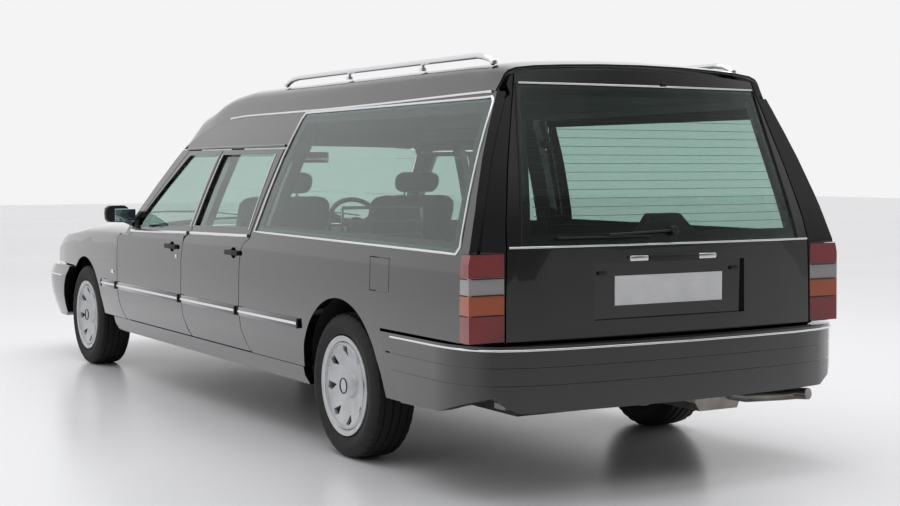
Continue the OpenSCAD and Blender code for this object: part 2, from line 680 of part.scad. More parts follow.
// The windscreen, from the cowl up to the roof's front edge
function screen_pt(t, s, d) = let (
  z0 = 846 + 22 * (1 - s * s), z1 = 1297 + 48 * (1 - pow(abs(s), 3)),
  u = s * (side_x(z1) - 44.3) / side_x(ROOF[0][1]),
  y0 = y_front + 1744 - 140 * (1 - s * s), y1 = ROOF[0][0] - 5.2 - ROOF[0][3] * (1 - u * u),
  z = z0 + (z1 - z0) * t, bow = 14 * sin(180 * t))
  [s * (side_x(z) - 44.3), y0 + (y1 - y0) * t - bow * 0.6 + d * 0.7, z + bow - d * 0.7];
module windscreen() {
  S = [-1, -0.9, -0.75, -0.5, -0.25, 0, 0.25, 0.5, 0.75, 0.9, 1];
  color(clear) grid_shell([for (s = S) [for (t = [1:-0.1:0]) screen_pt(t, s, 0)]],
    [for (s = S) [for (t = [1:-0.1:0]) screen_pt(t, s, glass_t + 1)]]);
}

module side_windows() {
  color(clear) pair() side_panel(grown(SIDE_PANE, 12), 2, 2 + glass_t);
}

function gate_row(z, d) = let (w = gate_w(z))
  [for (s = [-1, -0.9, -0.75, -0.5, -0.25, 0, 0.25, 0.5, 0.75, 0.9, 1])
    let (rise = lookup(z, [[1400, 0], [gate_top, 1]]) * 26 * (1 - s * s))
    [s * w, tail_y(z + rise * 0.5) + 34 * (1 - pow(abs(s), 2.4)) - d, z + rise]];
gate_top = 1553;
y_pivot = tail_y(1530) - 14;
z_pivot = 1530;
GATE_Z = [577, 610, 660, 720, 790, 860, 914, 940, 1000, 1100, 1200, 1300, 1400, 1480, 1520, gate_top];
module tailgate_opening(g) {
  along([[-646 - g, 930 - g], [-560 - g, 1500 + g], [560 + g, 1500 + g], [646 + g, 930 - g]],
    y_rear - 500, y_rear + 20);
}
module gate_pins(r, x0, x1) {
  pair() disc(x0, x1, r, y_pivot, z_pivot);
}
module tailgate() {
  color(paint) difference() {
    grid_shell([for (z = GATE_Z) gate_row(z, 0)], [for (z = GATE_Z) gate_row(z, gate_t)]);
    gate_pins(pin_r + fit, gate_w(z_pivot) - 26, gate_w(z_pivot) + 20);
    tailgate_opening(0);
    // recess for the number plate
    box([-364, y_rear - 128, 640], [364, y_rear + 10, 850]);
    intersection() {
      tailgate_opening(14.3);
      grid_shell([for (z = GATE_Z) gate_row(z, -20)], [for (z = GATE_Z) gate_row(z, glass_t + 2.6)]);
    }
  }
}
module tailgate_window() {
  color(clear) intersection() {
    tailgate_opening(14);
    grid_shell([for (z = GATE_Z) gate_row(z, 2)], [for (z = GATE_Z) gate_row(z, 2.3 + glass_t)]);
  }
}
module number_plate() {
  color([0.9, 0.9, 0.88]) box([-260, y_rear - 128 + 0.3, 690], [260, y_rear - 124, 801]);
}

// ---------- ends ----------

// Half plan of a bumper as [x, y] points, y measured back from the outermost middle
BUMPER_PLAN = [[0, 0], [300, 8], [560, 26], [700, 50], [790, 84], [846, 130], [880, 190],
  [899, 270], [906, 360], [906, 900]];
module bumper_plan(w, len) {
  p = concat(BUMPER_PLAN, []);
  intersection() {
    polygon(concat([for (q = p) [min(q[0] * half_w / 906, half_w), q[1]]],
      [for (q = reversed(p)) [-min(q[0] * half_w / 906, half_w), q[1]]]));
    translate([-half_w - 10, -10]) square([2 * half_w + 20, len + 10]);
  }
}
module rear_bumper() {
  color(paint) pair() box([440, tail_y(545) - 3.7, 400], [500, y_rear - 40, 425]);
  color(paint) difference() {
    intersection() {
      translate([0, y_rear, 300]) linear_extrude(bumper_top - 300) mirror([0, 1]) difference() {
        bumper_plan(half_w, 860);
        offset(delta = -0.01) translate([0, 62]) scale([0.948, 1]) bumper_plan(half_w, 900);
      }
      across([[y_rear - 806, bumper_top + 6], [y_rear - 606, 312], [y_rear - 330, 318],
        [y_rear - 100, 386], [y_rear - 60, 330], [y_rear + 5, 330], [y_rear + 5, bumper_top + 6]],
        -1000, 1000);
    }
    // two grooves round the face
    for (z = [431, 495]) difference() {
      translate([0, y_rear, z - 3]) linear_extrude(6) mirror([0, 1]) difference() {
        translate([0, -20]) square([3000, 1500], center = true);
        translate([0, 5]) scale([0.994, 1]) bumper_plan(half_w, 700);
      }
    }
    box([-739, y_rear - 300, 290], [739, tail_y(545) - 3.7, 560]);
  }
}

module front_bumper() {
  color(paint) difference() {
    union() {
      intersection() {
        translate([0, y_front, 262]) linear_extrude(592 - 262 - shut_gap) difference() {
          bumper_plan(half_w, 660);
          translate([0, 62]) scale([0.94, 1]) bumper_plan(half_w, 900);
        }
        across([[y_front - 5, 300], [y_front + 60, 264], [y_front + 480, 264],
          [y_front + 560, 300], [y_front + 645, 580], [y_front + 640, 600],
          [y_front - 5, 600]], -1000, 1000);
      }
      box([-640, y_front + 50, 420], [640, y_front + 189.7, 500]);
    }
    disc(600, 1000, front_arch_r + 6, y_fa, wheel_z);
    disc(-1000, -600, front_arch_r + 6, y_fa, wheel_z);
    // lower air intake
    box([-380, y_front - 10, 330], [380, y_front + 80, 400]);
  }
}

module grille() {
  z1 = edge_z(y_front + 62) + 20;
  color(dark) difference() {
    along([[-250, 586.2], [-290, z1 - 2], [290, z1 - 2], [250, 586.2]], y_front + 50, y_front + 92);
    for (i = [-6:5]) box([i * 42 + 4, y_front + 40, 606], [i * 42 + 38, y_front + 78, z1 - 18]);
  }
}

module headlamps() {
  color(clear) pair() intersection() {
    along([[300, 586.2], [308, 680], [790, 680], [790, 586.2]], y_front + 50, y_front + 250);
    linear_extrude(900) polygon([[296, y_front + 62], [600, y_front + 86], [690, y_front + 110],
      [752, y_front + 150], [786, y_front + 220], [700, y_front + 220], [640, y_front + 170],
      [296, y_front + 150]]);
  }
}

// ---------- cabin ----------

module column() {
  translate([-381, y_front + 2110, 852]) rotate([-65, 0, 0]) children();
}
module dashboard() {
  y = y_bulk + bulk_t;
  color([0.3, 0.3, 0.31]) difference() {
    across([[y, 560], [y, 752], [y + 244, 806], [y + 246, 842], [y + 400, 850], [y + 465, 820],
      [y + 480, 760], [y + 445, 670], [y + 390, 560]], -685, 685);
    box([-690, y - 5, 500], [690, y + 340, 700]);
    column() translate([0, 0, -420]) cylinder(r = 20 + fit, h = 420);
  }
}

module seat() {
  color([0.28, 0.28, 0.29]) {
    // cushion, back and headrest
    across([[-440, 400], [-470, 470], [-430, 512], [-120, 505], [40, 480], [60, 400]], -260, 260);
    across([[-20, 481], [40, 481], [250, 960], [275, 1040], [240, 1062], [190, 1050], [60, 720],
      [-50, 560]], -245, 245);
    across([[236, 1063], [262, 1050], [310, 1160], [296, 1182], [240, 1176], [222, 1120]],
      -130, 130);
    for (x = [-60, 60]) bar([x, 220, 1045], [x, 262, 1120], 6);
  }
  color(dark) for (x = [-200, 170]) box([x, -420, 278.3], [x + 30, 40, 401]);
}
module front_seats() {
  for (x = [-381, 381]) translate([x, y_front + 2560, 0]) seat();
}

module steering_wheel() {
  color(dark) column() union() {
    rotate_extrude($fn = 64) translate([178, 0]) circle(r = 14);
    cylinder(r = 60, h = 30, center = true);
    for (a = [0, 120, 240]) rotate([0, 0, a + 90]) translate([50, -16, -6]) cube([120, 32, 12]);
    translate([0, 0, -190]) cylinder(r = 20, h = 190);
  }
}

deck_front = y_front + 3080;
module load_deck() {
  y1 = y_rear - 330;
  color([0.45, 0.45, 0.46]) difference() {
    union() {
      box([-side_x(deck_z) + wall_t + 0.3, y_c + 190, deck_z - deck_t], [side_x(deck_z) - wall_t - 0.3,
        y1, deck_z]);
      box([-640, deck_front, deck_z - deck_t], [640, y_c + 191, deck_z]);
      box([-600, deck_front, 486.3], [600, deck_front + 18, deck_z - 1]);
      box([-600, y1 - 30, 486.3], [600, y1 - 12, deck_z - 1]);
      box([-9, deck_front + 10, 486.3], [9, y1 - 20, deck_z - 1]);
    }
    for (x = [-230, 230], y = [deck_front + 60, y_ra - 900, y_ra - 300, y_ra + 300, y_ra + 760])
      translate([x, y, deck_z - deck_t - 1]) cylinder(r = deck_hole_r, h = deck_t + 2);
    box([-500, deck_front - 10, 560], [-100, deck_front + 30, 700]);
    // room for the filler neck
    box([740, y_rear - 884, deck_z - 60], [900, y_rear - 744, deck_z + 10]);
    box([100, deck_front - 10, 560], [500, deck_front + 30, 700]);
  }
}

module deck_fittings() {
  y1 = y_rear - 345;
  color(silver) {
    // runner strips, the stop frame at the front and the pins
    for (x = [-330, -110, 110, 330])
      box([x - 14, deck_front + 90, deck_z + 0.3], [x + 14, y1, deck_z + 5]);
    for (x = [-230, 230]) translate([x, deck_front + 60, 0]) {
      translate([0, 0, deck_z - 14]) cylinder(r = deck_hole_r - fit, h = 100);
      translate([0, 0, deck_z + fit]) cylinder(r = 20, h = 8);
      for (y = [y_ra - 900, y_ra - 300, y_ra + 300, y_ra + 760]) if (y < y_rear)
        translate([0, y - deck_front - 60, 0]) {
          translate([0, 0, deck_z - 14]) cylinder(r = deck_hole_r - fit, h = 60);
          translate([0, 0, deck_z + fit]) cylinder(r = 18, h = 6);
        }
    }
    for (z = [deck_z + 80, deck_z + 150, deck_z + 220])
      bar([-230, deck_front + 60, z], [230, deck_front + 60, z], 8);
    for (x = [-230, 230]) bar([x, deck_front + 60, deck_z + 70], [x, deck_front + 60, deck_z + 220], 8);
  }
}

// ---------- roof rails ----------

function crown_z(y, x) = let (z = gutter(y), w = side_x(z),
  rise = lookup(y, [for (r = ROOF) [r[0], r[2]]]),
  share = lookup(x / w, [for (i = [len(CROWN) - 1:-1:0]) [CROWN[i][0], CROWN[i][1]]])) z + rise * share;
module roof_rails() {
  x = 590;
  r = rail_d / 2;
  h = 42;
  y0 = y_front + 3266;
  y1 = y_rear - 452;
  feet = [y0, y_front + 3930, y_front + 4590, y1];
  color(silver) pair() {
    tube([for (q = [[y0, 13.5], [y0 + 28, 25], [y0 + 70, 36], [y0 + 140, h], [y_front + 4200, h + 2],
      [y1 - 110, h + 2], [y1 - 55, 36], [y1 - 20, 25], [y1, 13.5]]) [x, q[0], crown_z(q[0], x) + q[1]]],
      r, [1, 0, 0]);
    for (i = [0:3]) translate([x, feet[i], crown_z(feet[i], x - r - 5) + 1.3])
      cylinder(r = r + 4, h = 12);
    for (i = [1:2]) translate([x, feet[i], crown_z(feet[i], x - r - 5) + 5])
      cylinder(r = r - 3, h = h - 10);
  }
}

// ---------- running gear ----------

module engine() {
  y = y_front + 320;
  color([0.35, 0.35, 0.36]) {
    box([-210, y, 345], [210, y + 940, 745]);
    box([-150, y + 940, 330], [150, y + 1158, 600]);
    along([[-90, 288], [-90, 340], [-60, 372], [60, 372], [90, 340], [90, 288]], y + 1157, y + 1800);
    for (x = [-1, 1]) box([min(x * 209, x * 419.7), y + 420, 350], [max(x * 209, x * 419.7), y + 480, 390]);
  }
}

module exhaust() {
  y0 = y_front + 2000;
  color([0.6, 0.6, 0.6]) {
    tube([[-185, y0, 232], [-185, y_ra - 500, 232], [-200, y_ra - 450, 242], [-365, y_ra - 330, 358],
      [-385, y_ra - 280, 370], [-426, y_ra + 220, 396], [-432, y_ra + 280, 390],
      [-440, y_ra + 440, 300]], 23, [0, 0, 1]);
    tube([[-480, y_ra + 780, 272], [-540, y_ra + 890, 264], [-660, y_ra + 965, 272],
      [-700, y_ra + 1010, 280], [-712, y_ra + 1070, 286]], 24, [0, 0, 1]);
    tube([[-185, y_ra - 1300, 232], [-185, y_ra - 920, 232]], 29, [0, 0, 1]);
    along([[-545, 210], [-560, 245], [-560, 290], [-530, 330], [-350, 330], [-322, 290],
      [-322, 245], [-345, 210]], y_ra + 405, y_ra + 830);
    // hangers
    box([-191, y_ra - 815, 246], [-179, y_ra - 785, 261.7]);
    box([-436, y_ra + 185, 400], [-424, y_ra + 215, 469.7]);
    box([-446, y_ra + 585, 320], [-434, y_ra + 615, 469.7]);
  }
}

module fuel_tank() {
  color([0.25, 0.25, 0.26]) {
    box([100, y_ra + 390, 268], [560, y_rear - 330, 469.7]);
    filler_neck(24);
    translate([skin_w - 84, y_rear - 818, 786]) rotate([0, 90, 0]) cylinder(r = 34, h = 42);
  }
}

module rear_axle() {
  color([0.3, 0.3, 0.3]) {
    disc(-wheel_x - 50, wheel_x + 50, hub_r, y_ra, wheel_z);
    disc(-722, 722, 46, y_ra, wheel_z);
    pair() disc(721, 757, 105, y_ra, wheel_z);
    disc(-92, 92, 112, y_ra, wheel_z);
    bar([0, y_ra, wheel_z + 3], [0, y_front + 2121.5, 322], 35);
    pair() {
      bar([500, y_ra - 20, wheel_z], [580, y_ra - 480, 285], 20);
      box([560, y_ra - 510, 266], [600, y_ra - 460, 301.5]);
      box([470, y_ra - 40, wheel_z], [550, y_ra + 40, 469.7]);
    }
  }
}

module front_axle() {
  color([0.3, 0.3, 0.3]) {
    box([-430, y_fa - 70, 215], [430, y_fa + 70, 285]);
    for (s = [-1, 1]) {
      box([s < 0 ? -450 : 370, y_fa - 60, 270], [s < 0 ? -370 : 450, y_fa + 60, 329.7]);
      bar([s * 400, y_fa, 240], [s * (king_x - 14), y_fa, 168], 16);
      translate([s * king_x, y_fa, 150]) cylinder(r = 23, h = 38);
      translate([s * 590, y_fa, 442]) cylinder(r = 25, h = 311.7);
      bar([s * 590, y_fa, 482], [s * (king_x - 12), y_fa, 432], 14);
      translate([s * king_x, y_fa, 412]) cylinder(r = 23, h = 34);
      bar([s * 590, y_fa, 462], [s * 560, y_fa, 216], 13);
    }
  }
}

king_x = wheel_x - 35;
module knuckle() {
  color([0.35, 0.35, 0.35]) {
    translate([king_x, y_fa, 188 + fit]) cylinder(r = 22, h = 224 - 2 * fit);
    disc(king_x, wheel_x + 50, hub_r, y_fa, wheel_z);
    disc(wheel_x - 11, wheel_x - 1, 120, y_fa, wheel_z);
    bar([king_x, y_fa, wheel_z - 60], [king_x - 60, y_fa + 120, wheel_z - 64], 12);
  }
}
module left_knuckle() {
  knuckle();
}
module right_knuckle() {
  mirror([1, 0, 0]) knuckle();
}

TYRE = [[-0.36, 0], [-0.4, 0.1], [-0.48, 0.32], [-0.5, 0.5], [-0.49, 0.68], [-0.46, 0.84],
  [-0.4, 0.94], [-0.34, 0.98], [-0.2, 0.995], [0, 1]];
module tyre(y) {
  r0 = rim_d / 2 - 12;
  r1 = tyre_d / 2;
  half = [for (p = TYRE) [r0 + (r1 - r0) * p[1], p[0] * tyre_w]];
  color([0.06, 0.06, 0.06]) translate([wheel_x, y, wheel_z]) rotate([0, 90, 0])
    rotate_extrude($fn = 96) polygon(concat(half, [for (p = reversed(half)) [p[0], -p[1]]]));
}

// A rim with a cover that has eight openings near its edge
module wheel(y) {
  r0 = rim_d / 2;
  w = tyre_w * 0.36;
  color(silver) translate([wheel_x, y, wheel_z]) rotate([0, 90, 0]) difference() {
    union() {
      rotate_extrude($fn = 96) polygon([
        [r0 - 12 - fit, -w - 6], [r0 - 2, -w - 14], [r0, -w - 14], [r0, -w - 20], [r0 - 16, -w - 20],
        [r0 - 26, -w + 10], [r0 - 34, w - 34], [r0 - 34, w - 4], [r0 - 22, w + 16],
        [r0, w + 20], [r0, w + 14], [r0 - 2, w + 14], [r0 - 12 - fit, w + 6]
      ]);
      rotate_extrude($fn = 96) polygon([
        [0, 46], [0, 62], [46, 62], [54, 54], [110, 60], [150, 74], [r0 - 26, w + 14],
        [r0 - 30, w - 4], [150, 62], [110, 48], [60, 42], [60, 4], [0, 4]
      ]);
    }
    translate([0, 0, -40]) cylinder(r = hub_r + fit, h = 91);
    for (a = [0:45:359]) rotate([0, 0, a + 8]) linear_extrude(140)
      polygon([[120, -6], [160, -26], [168, 2], [150, 16]]);
  }
}

module front_left_tyre() {
  tyre(y_fa);
}
module front_right_tyre() {
  mirror([1, 0, 0]) tyre(y_fa);
}
module rear_left_tyre() {
  tyre(y_ra);
}
module rear_right_tyre() {
  mirror([1, 0, 0]) tyre(y_ra);
}
module front_left_wheel() {
  wheel(y_fa);
}
module front_right_wheel() {
  mirror([1, 0, 0]) wheel(y_fa);
}
module rear_left_wheel() {
  wheel(y_ra);
}
module rear_right_wheel() {
  mirror([1, 0, 0]) wheel(y_ra);
}
module left_mirror() {
  mirror_housing();
}
module right_mirror() {
  mirror([1, 0, 0]) mirror_housing();
}

side_frames();
floor_pan();
front_structure();
front_fenders();
quarter_panels();
rear_posts();
roof();
windscreen();
side_windows();
front_bumper();
rear_bumper();
grille();
headlamps();
tail_lamps();
dashboard();
front_seats();
load_deck();
deck_fittings();
roof_rails();
engine();
exhaust();
fuel_tank();
rear_axle();
front_axle();
steering_wheel();
bonnet();
tailgate();
tailgate_window();
number_plate();
fuel_flap();
front_left_door();
front_right_door();
rear_left_door();
rear_right_door();
front_left_window();
front_right_window();
rear_left_window();
rear_right_window();
left_mirror();
right_mirror();
left_knuckle();
right_knuckle();
front_left_tyre();
front_right_tyre();
rear_left_tyre();
rear_right_tyre();
front_left_wheel();
front_right_wheel();
rear_left_wheel();
rear_right_wheel();
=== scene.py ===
import math

import bpy
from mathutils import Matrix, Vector


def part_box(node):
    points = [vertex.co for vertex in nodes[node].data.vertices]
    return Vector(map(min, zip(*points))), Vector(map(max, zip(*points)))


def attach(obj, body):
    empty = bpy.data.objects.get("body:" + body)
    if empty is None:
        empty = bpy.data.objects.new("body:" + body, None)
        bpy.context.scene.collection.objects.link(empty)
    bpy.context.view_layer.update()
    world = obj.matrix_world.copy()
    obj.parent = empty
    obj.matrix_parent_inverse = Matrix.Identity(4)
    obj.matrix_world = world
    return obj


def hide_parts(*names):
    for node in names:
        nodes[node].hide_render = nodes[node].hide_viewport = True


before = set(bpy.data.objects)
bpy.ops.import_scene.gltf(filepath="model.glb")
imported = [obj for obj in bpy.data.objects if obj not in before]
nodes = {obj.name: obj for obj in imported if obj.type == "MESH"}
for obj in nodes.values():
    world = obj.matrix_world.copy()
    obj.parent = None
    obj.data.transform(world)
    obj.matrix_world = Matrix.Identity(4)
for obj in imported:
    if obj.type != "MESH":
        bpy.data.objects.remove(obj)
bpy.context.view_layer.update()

# ---------- camera ----------
# A long lens stands low behind the car's left rear corner, about four metres off,
# so that the tail, the left side and a little of the roof show.
camera_data = bpy.data.cameras.new("camera")
camera = bpy.data.objects.new("camera", camera_data)
bpy.context.scene.collection.objects.link(camera)
camera_data.sensor_width = 36.0
camera_data.lens = 1507 / 900 * 36
camera_data.clip_end = 200
camera.location = (3.65, 7.17, 1.21)
turn, dip = math.radians(30.7), math.radians(3.3)
aim = Vector((-math.sin(turn) * math.cos(dip), -math.cos(turn) * math.cos(dip), -math.sin(dip)))
camera.rotation_euler = aim.to_track_quat("-Z", "Y").to_euler()
bpy.context.scene.camera = camera

# ---------- studio ----------
# A pale glossy floor that mirrors the car softly, in a white room, under one wide overhead
# softbox.


def linear(code):
    """A hex colour as linear red, green, blue and alpha."""
    parts = [int(code[i:i + 2], 16) / 255 for i in (1, 3, 5)]
    return [c / 12.92 if c <= 0.04045 else ((c + 0.055) / 1.055) ** 2.4 for c in parts] + [1.0]


def new_material(name):
    """An empty material with its output, ready for nodes."""
    mat = bpy.data.materials.new(name)
    mat.use_nodes = True
    mat.node_tree.nodes.clear()
    return mat


def add(mat, kind, settings=None, **inputs):
    """Adds a node of a kind, sets its properties, and sets or links its inputs by name or number."""
    node = mat.node_tree.nodes.new("ShaderNode" + kind)
    for key, value in (settings or {}).items():
        setattr(node, key, value)
    for key, value in inputs.items():
        socket = node.inputs[int(key[2:])] if key.startswith("in") and key[2:].isdigit() \
            else node.inputs[key.replace("_", " ")]
        if isinstance(value, bpy.types.NodeSocket):
            mat.node_tree.links.new(value, socket)
        else:
            socket.default_value = value
    return node


def ramp(mat, fac, stops):
    """A colour ramp through (place, hex colour) stops."""
    node = add(mat, "ValToRGB", Fac=fac)
    line = node.color_ramp.elements
    while len(line) < len(stops):
        line.new(0.5)
    for element, (place, code) in zip(line, stops):
        element.position = place
        element.color = linear(code)
    return node


def deselect():
    if bpy.context.mode != "OBJECT":
        bpy.ops.object.mode_set(mode="OBJECT")
    bpy.ops.object.select_all(action="DESELECT")


def activate(piece):
    deselect()
    piece.select_set(True)
    bpy.context.view_layer.objects.active = piece


deselect()
bpy.ops.mesh.primitive_plane_add(size=80, location=(0, 0, 0))
floor = bpy.context.object
floor.name = "studio_floor"
lacquered_floor = new_material("lacquered_studio_floor")  # white lacquer, a soft mirror
where = add(lacquered_floor, "TexCoord").outputs["Object"]
smears = add(lacquered_floor, "TexNoise", Vector=where, Scale=0.6, Detail=4.0)
sheen = add(lacquered_floor, "MapRange", Value=smears.outputs[0], in3=0.16, in4=0.3)
floor_bsdf = add(lacquered_floor, "BsdfPrincipled", Base_Color=linear("#E4E4E6"),
                 Roughness=sheen.outputs[0], IOR=1.45)
add(lacquered_floor, "OutputMaterial", Surface=floor_bsdf.outputs[0])
floor.data.materials.append(lacquered_floor)

# The room is white, and darker low down behind the camera, where the tail looks.
world = bpy.data.worlds.new("white_room")
bpy.context.scene.world = world
world.use_nodes = True
bpy.context.scene.view_settings.view_transform = "Standard"
tree = world.node_tree
tree.nodes.clear()
look = tree.nodes.new("ShaderNodeTexCoord")
parts = tree.nodes.new("ShaderNodeSeparateXYZ")
tree.links.new(look.outputs["Generated"], parts.inputs[0])
behind = tree.nodes.new("ShaderNodeMapRange")
for number, value in ((1, 0.1), (2, 0.75), (3, 1.0), (4, 0.16)):
    behind.inputs[number].default_value = value
tree.links.new(parts.outputs["Y"], behind.inputs[0])
above = tree.nodes.new("ShaderNodeMapRange")
for number, value in ((1, 0.35), (2, 0.8), (3, 0.0), (4, 1.0)):
    above.inputs[number].default_value = value
tree.links.new(parts.outputs["Z"], above.inputs[0])
both = tree.nodes.new("ShaderNodeMath")
both.operation = "MAXIMUM"
tree.links.new(behind.outputs[0], both.inputs[0])
tree.links.new(above.outputs[0], both.inputs[1])
room = tree.nodes.new("ShaderNodeBackground")
room.inputs[0].default_value = linear("#F4F4F5")
tree.links.new(both.outputs[0], room.inputs[1])
out = tree.nodes.new("ShaderNodeOutputWorld")
tree.links.new(room.outputs[0], out.inputs[0])

deselect()
bpy.ops.object.light_add(type="AREA", location=(0.0, 0.2, 6.5))
softbox = bpy.context.object
softbox.name = "overhead_softbox"
softbox.data.shape = "RECTANGLE"
softbox.data.size, softbox.data.size_y = 9.0, 5.0
softbox.data.energy = 260
softbox.rotation_euler = Vector((0, 0, -1)).to_track_quat("-Z", "Y").to_euler()

# ---------- painted shell ----------
# The body panels are pressed steel and aluminium in deep gloss black under clear lacquer.
# Their pressed edges are folded to a 2 mm radius, and the cabin side is lined.

gloss_black = new_material("black_lacquer_over_steel")
where = add(gloss_black, "TexCoord").outputs["Object"]
# orange peel is about 4 mm across; drawn at 9 mm, the finest that shows from here
peel = add(gloss_black, "TexNoise", Vector=where, Scale=110.0, Detail=2.0)
dust = add(gloss_black, "TexNoise", Vector=where, Scale=2.2, Detail=8.0, Roughness=0.7)
haze = add(gloss_black, "MapRange", Value=dust.outputs[0], in1=0.35, in2=0.7, in3=0.1, in4=0.17)
orange_peel = add(gloss_black, "Bump", Strength=0.012, Distance=0.002, Height=peel.outputs[0])
tone = ramp(gloss_black, dust.outputs[0], [(0.3, "#060607"), (0.75, "#0A0A0C")])
shader = add(gloss_black, "BsdfPrincipled", Base_Color=tone.outputs[0], Roughness=haze.outputs[0],
             IOR=1.5, Coat_Weight=1.0, Coat_Roughness=0.02, Coat_IOR=1.52, Normal=orange_peel.outputs[0])
add(gloss_black, "OutputMaterial", Surface=shader.outputs[0])

# vinyl and foam door lining, mid grey, with a 3 mm grain
door_lining = new_material("grained_vinyl_lining")
where = add(door_lining, "TexCoord").outputs["Object"]
grain = add(door_lining, "TexVoronoi", Vector=where, Scale=330.0)
patches = add(door_lining, "TexNoise", Vector=where, Scale=7.0, Detail=3.0)
tone = ramp(door_lining, patches.outputs[0], [(0.3, "#2B2C2E"), (0.7, "#37383A")])
relief = add(door_lining, "Bump", Strength=0.3, Distance=0.0006, Height=grain.outputs[0])
shader = add(door_lining, "BsdfPrincipled", Base_Color=tone.outputs[0], Roughness=0.62,
             Normal=relief.outputs[0])
add(door_lining, "OutputMaterial", Surface=shader.outputs[0])

# brushed-nylon headlining, pale grey, softly mottled
head_lining = new_material("brushed_nylon_headlining")
where = add(head_lining, "TexCoord").outputs["Object"]
nap = add(head_lining, "TexNoise", Vector=where, Scale=260.0, Detail=3.0)
tone = ramp(head_lining, nap.outputs[0], [(0.3, "#8E8F90"), (0.7, "#A3A4A4")])
relief = add(head_lining, "Bump", Strength=0.25, Distance=0.001, Height=nap.outputs[0])
shader = add(head_lining, "BsdfPrincipled", Base_Color=tone.outputs[0], Roughness=0.9,
             Sheen_Weight=0.25, Normal=relief.outputs[0])
add(head_lining, "OutputMaterial", Surface=shader.outputs[0])


def finished_copy(node, body, finish, edge=0.002, angle=30, join=0.00006):
    """A copy of a CAD node with its triangles merged, its edges rounded and its curves smooth."""
    piece = bpy.data.objects.new(node + "_finished", nodes[node].data.copy())
    bpy.context.scene.collection.objects.link(piece)
    piece.data.materials.clear()
    for mat in finish:
        piece.data.materials.append(mat)
    activate(piece)
    bpy.ops.mesh.customdata_custom_splitnormals_clear()
    bpy.ops.object.mode_set(mode="EDIT")
    bpy.ops.mesh.select_all(action="SELECT")
    bpy.ops.mesh.remove_doubles(threshold=join)
    bpy.ops.mesh.dissolve_limited(angle_limit=math.radians(0.6))
    bpy.ops.object.mode_set(mode="OBJECT")
    for face in piece.data.polygons:
        face.material_index = 0
    if edge:
        soft = piece.modifiers.new("edge", "BEVEL")
        soft.width, soft.segments, soft.limit_method = edge, 2, "ANGLE"
        soft.angle_limit = math.radians(40)
        bpy.ops.object.modifier_apply(modifier=soft.name)
    bpy.ops.object.shade_smooth_by_angle(angle=math.radians(angle))
    even = piece.modifiers.new("even", "WEIGHTED_NORMAL")
    even.keep_sharp, even.weight = True, 50
    bpy.ops.object.modifier_apply(modifier=even.name)
    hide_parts(node)
    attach(piece, body)
    return piece


shell = {}
for node in ["side_frames", "front_fenders", "quarter_panels", "rear_posts", "roof"]:
    shell[node] = finished_copy(node, "body", [gloss_black, head_lining, door_lining])
for node, body in [("bonnet", "bonnet"), ("tailgate", "tailgate"), ("fuel_flap", "fuel_flap"),
                   ("front_left_door", "front_left_door"), ("front_right_door", "front_right_door"),
                   ("rear_left_door", "rear_left_door"), ("rear_right_door", "rear_right_door")]:
    shell[node] = finished_copy(node, body, [gloss_black, head_lining, door_lining])
# the lining covers what faces into the cabin
for node, piece in shell.items():
    for face in piece.data.polygons:
        inward = -face.normal.x * (1 if face.center.x > 0 else -1)
        if node == "roof" and face.normal.z < -0.2:
            face.material_index = 1
        elif node == "tailgate" and face.normal.y < -0.5:
            face.material_index = 2
        elif node == "quarter_panels" and inward > 0.5 and face.center.z > 0.78:
            face.material_index = 1 if face.center.z > 1.3 else 2
        elif "door" in node and inward > 0.5:
            face.material_index = 2
        elif node == "side_frames" and inward > 0.5 and face.center.z > 0.6:
            face.material_index = 2

# Half width of the body side at each height, the section that every side panel is pressed to
SIDE = [(0.255, 0.838), (0.300, 0.858), (0.345, 0.868), (0.450, 0.884), (0.545, 0.888),
        (0.700, 0.889), (0.800, 0.887), (0.860, 0.885), (0.905, 0.879), (1.000, 0.850),
        (1.100, 0.818), (1.240, 0.768), (1.350, 0.721), (1.457, 0.671), (1.500, 0.651)]


def lookup(table, at):
    """A value between the rows of a table of (place, value)."""
    if at <= table[0][0]:
        return table[0][1]
    for (a, u), (b, v) in zip(table, table[1:]):
        if at <= b:
            return u + (v - u) * (at - a) / (b - a)
    return table[-1][1]


def skin(y, z, out=0.0, side=1):
    """A point on the body side, out metres proud of the paint."""
    return Vector((side * (lookup(SIDE, z) + out), y, z))


def smooth_skin(piece):
    """Corner normals that follow the pressed curve of the body side, so that highlights run clean."""
    mesh = piece.data
    normals = [Vector(corner.vector) for corner in mesh.corner_normals]
    for face in mesh.polygons:
        if abs(face.normal.x) < 0.75 or face.normal.x * face.center.x < 0:
            continue
        for loop in face.loop_indices:
            spot = mesh.vertices[mesh.loops[loop].vertex_index].co
            if abs(abs(spot.x) - lookup(SIDE, spot.z)) > 0.0012:
                continue
            slope = (lookup(SIDE, spot.z + 0.04) - lookup(SIDE, spot.z - 0.04)) / 0.08
            side = 1 if spot.x > 0 else -1
            normals[loop] = Vector((side, 0, -slope)).normalized()
    mesh.normals_split_custom_set(normals)


for node, piece in shell.items():
    if "door" in node or node in ("quarter_panels", "fuel_flap", "side_frames"):
        smooth_skin(piece)

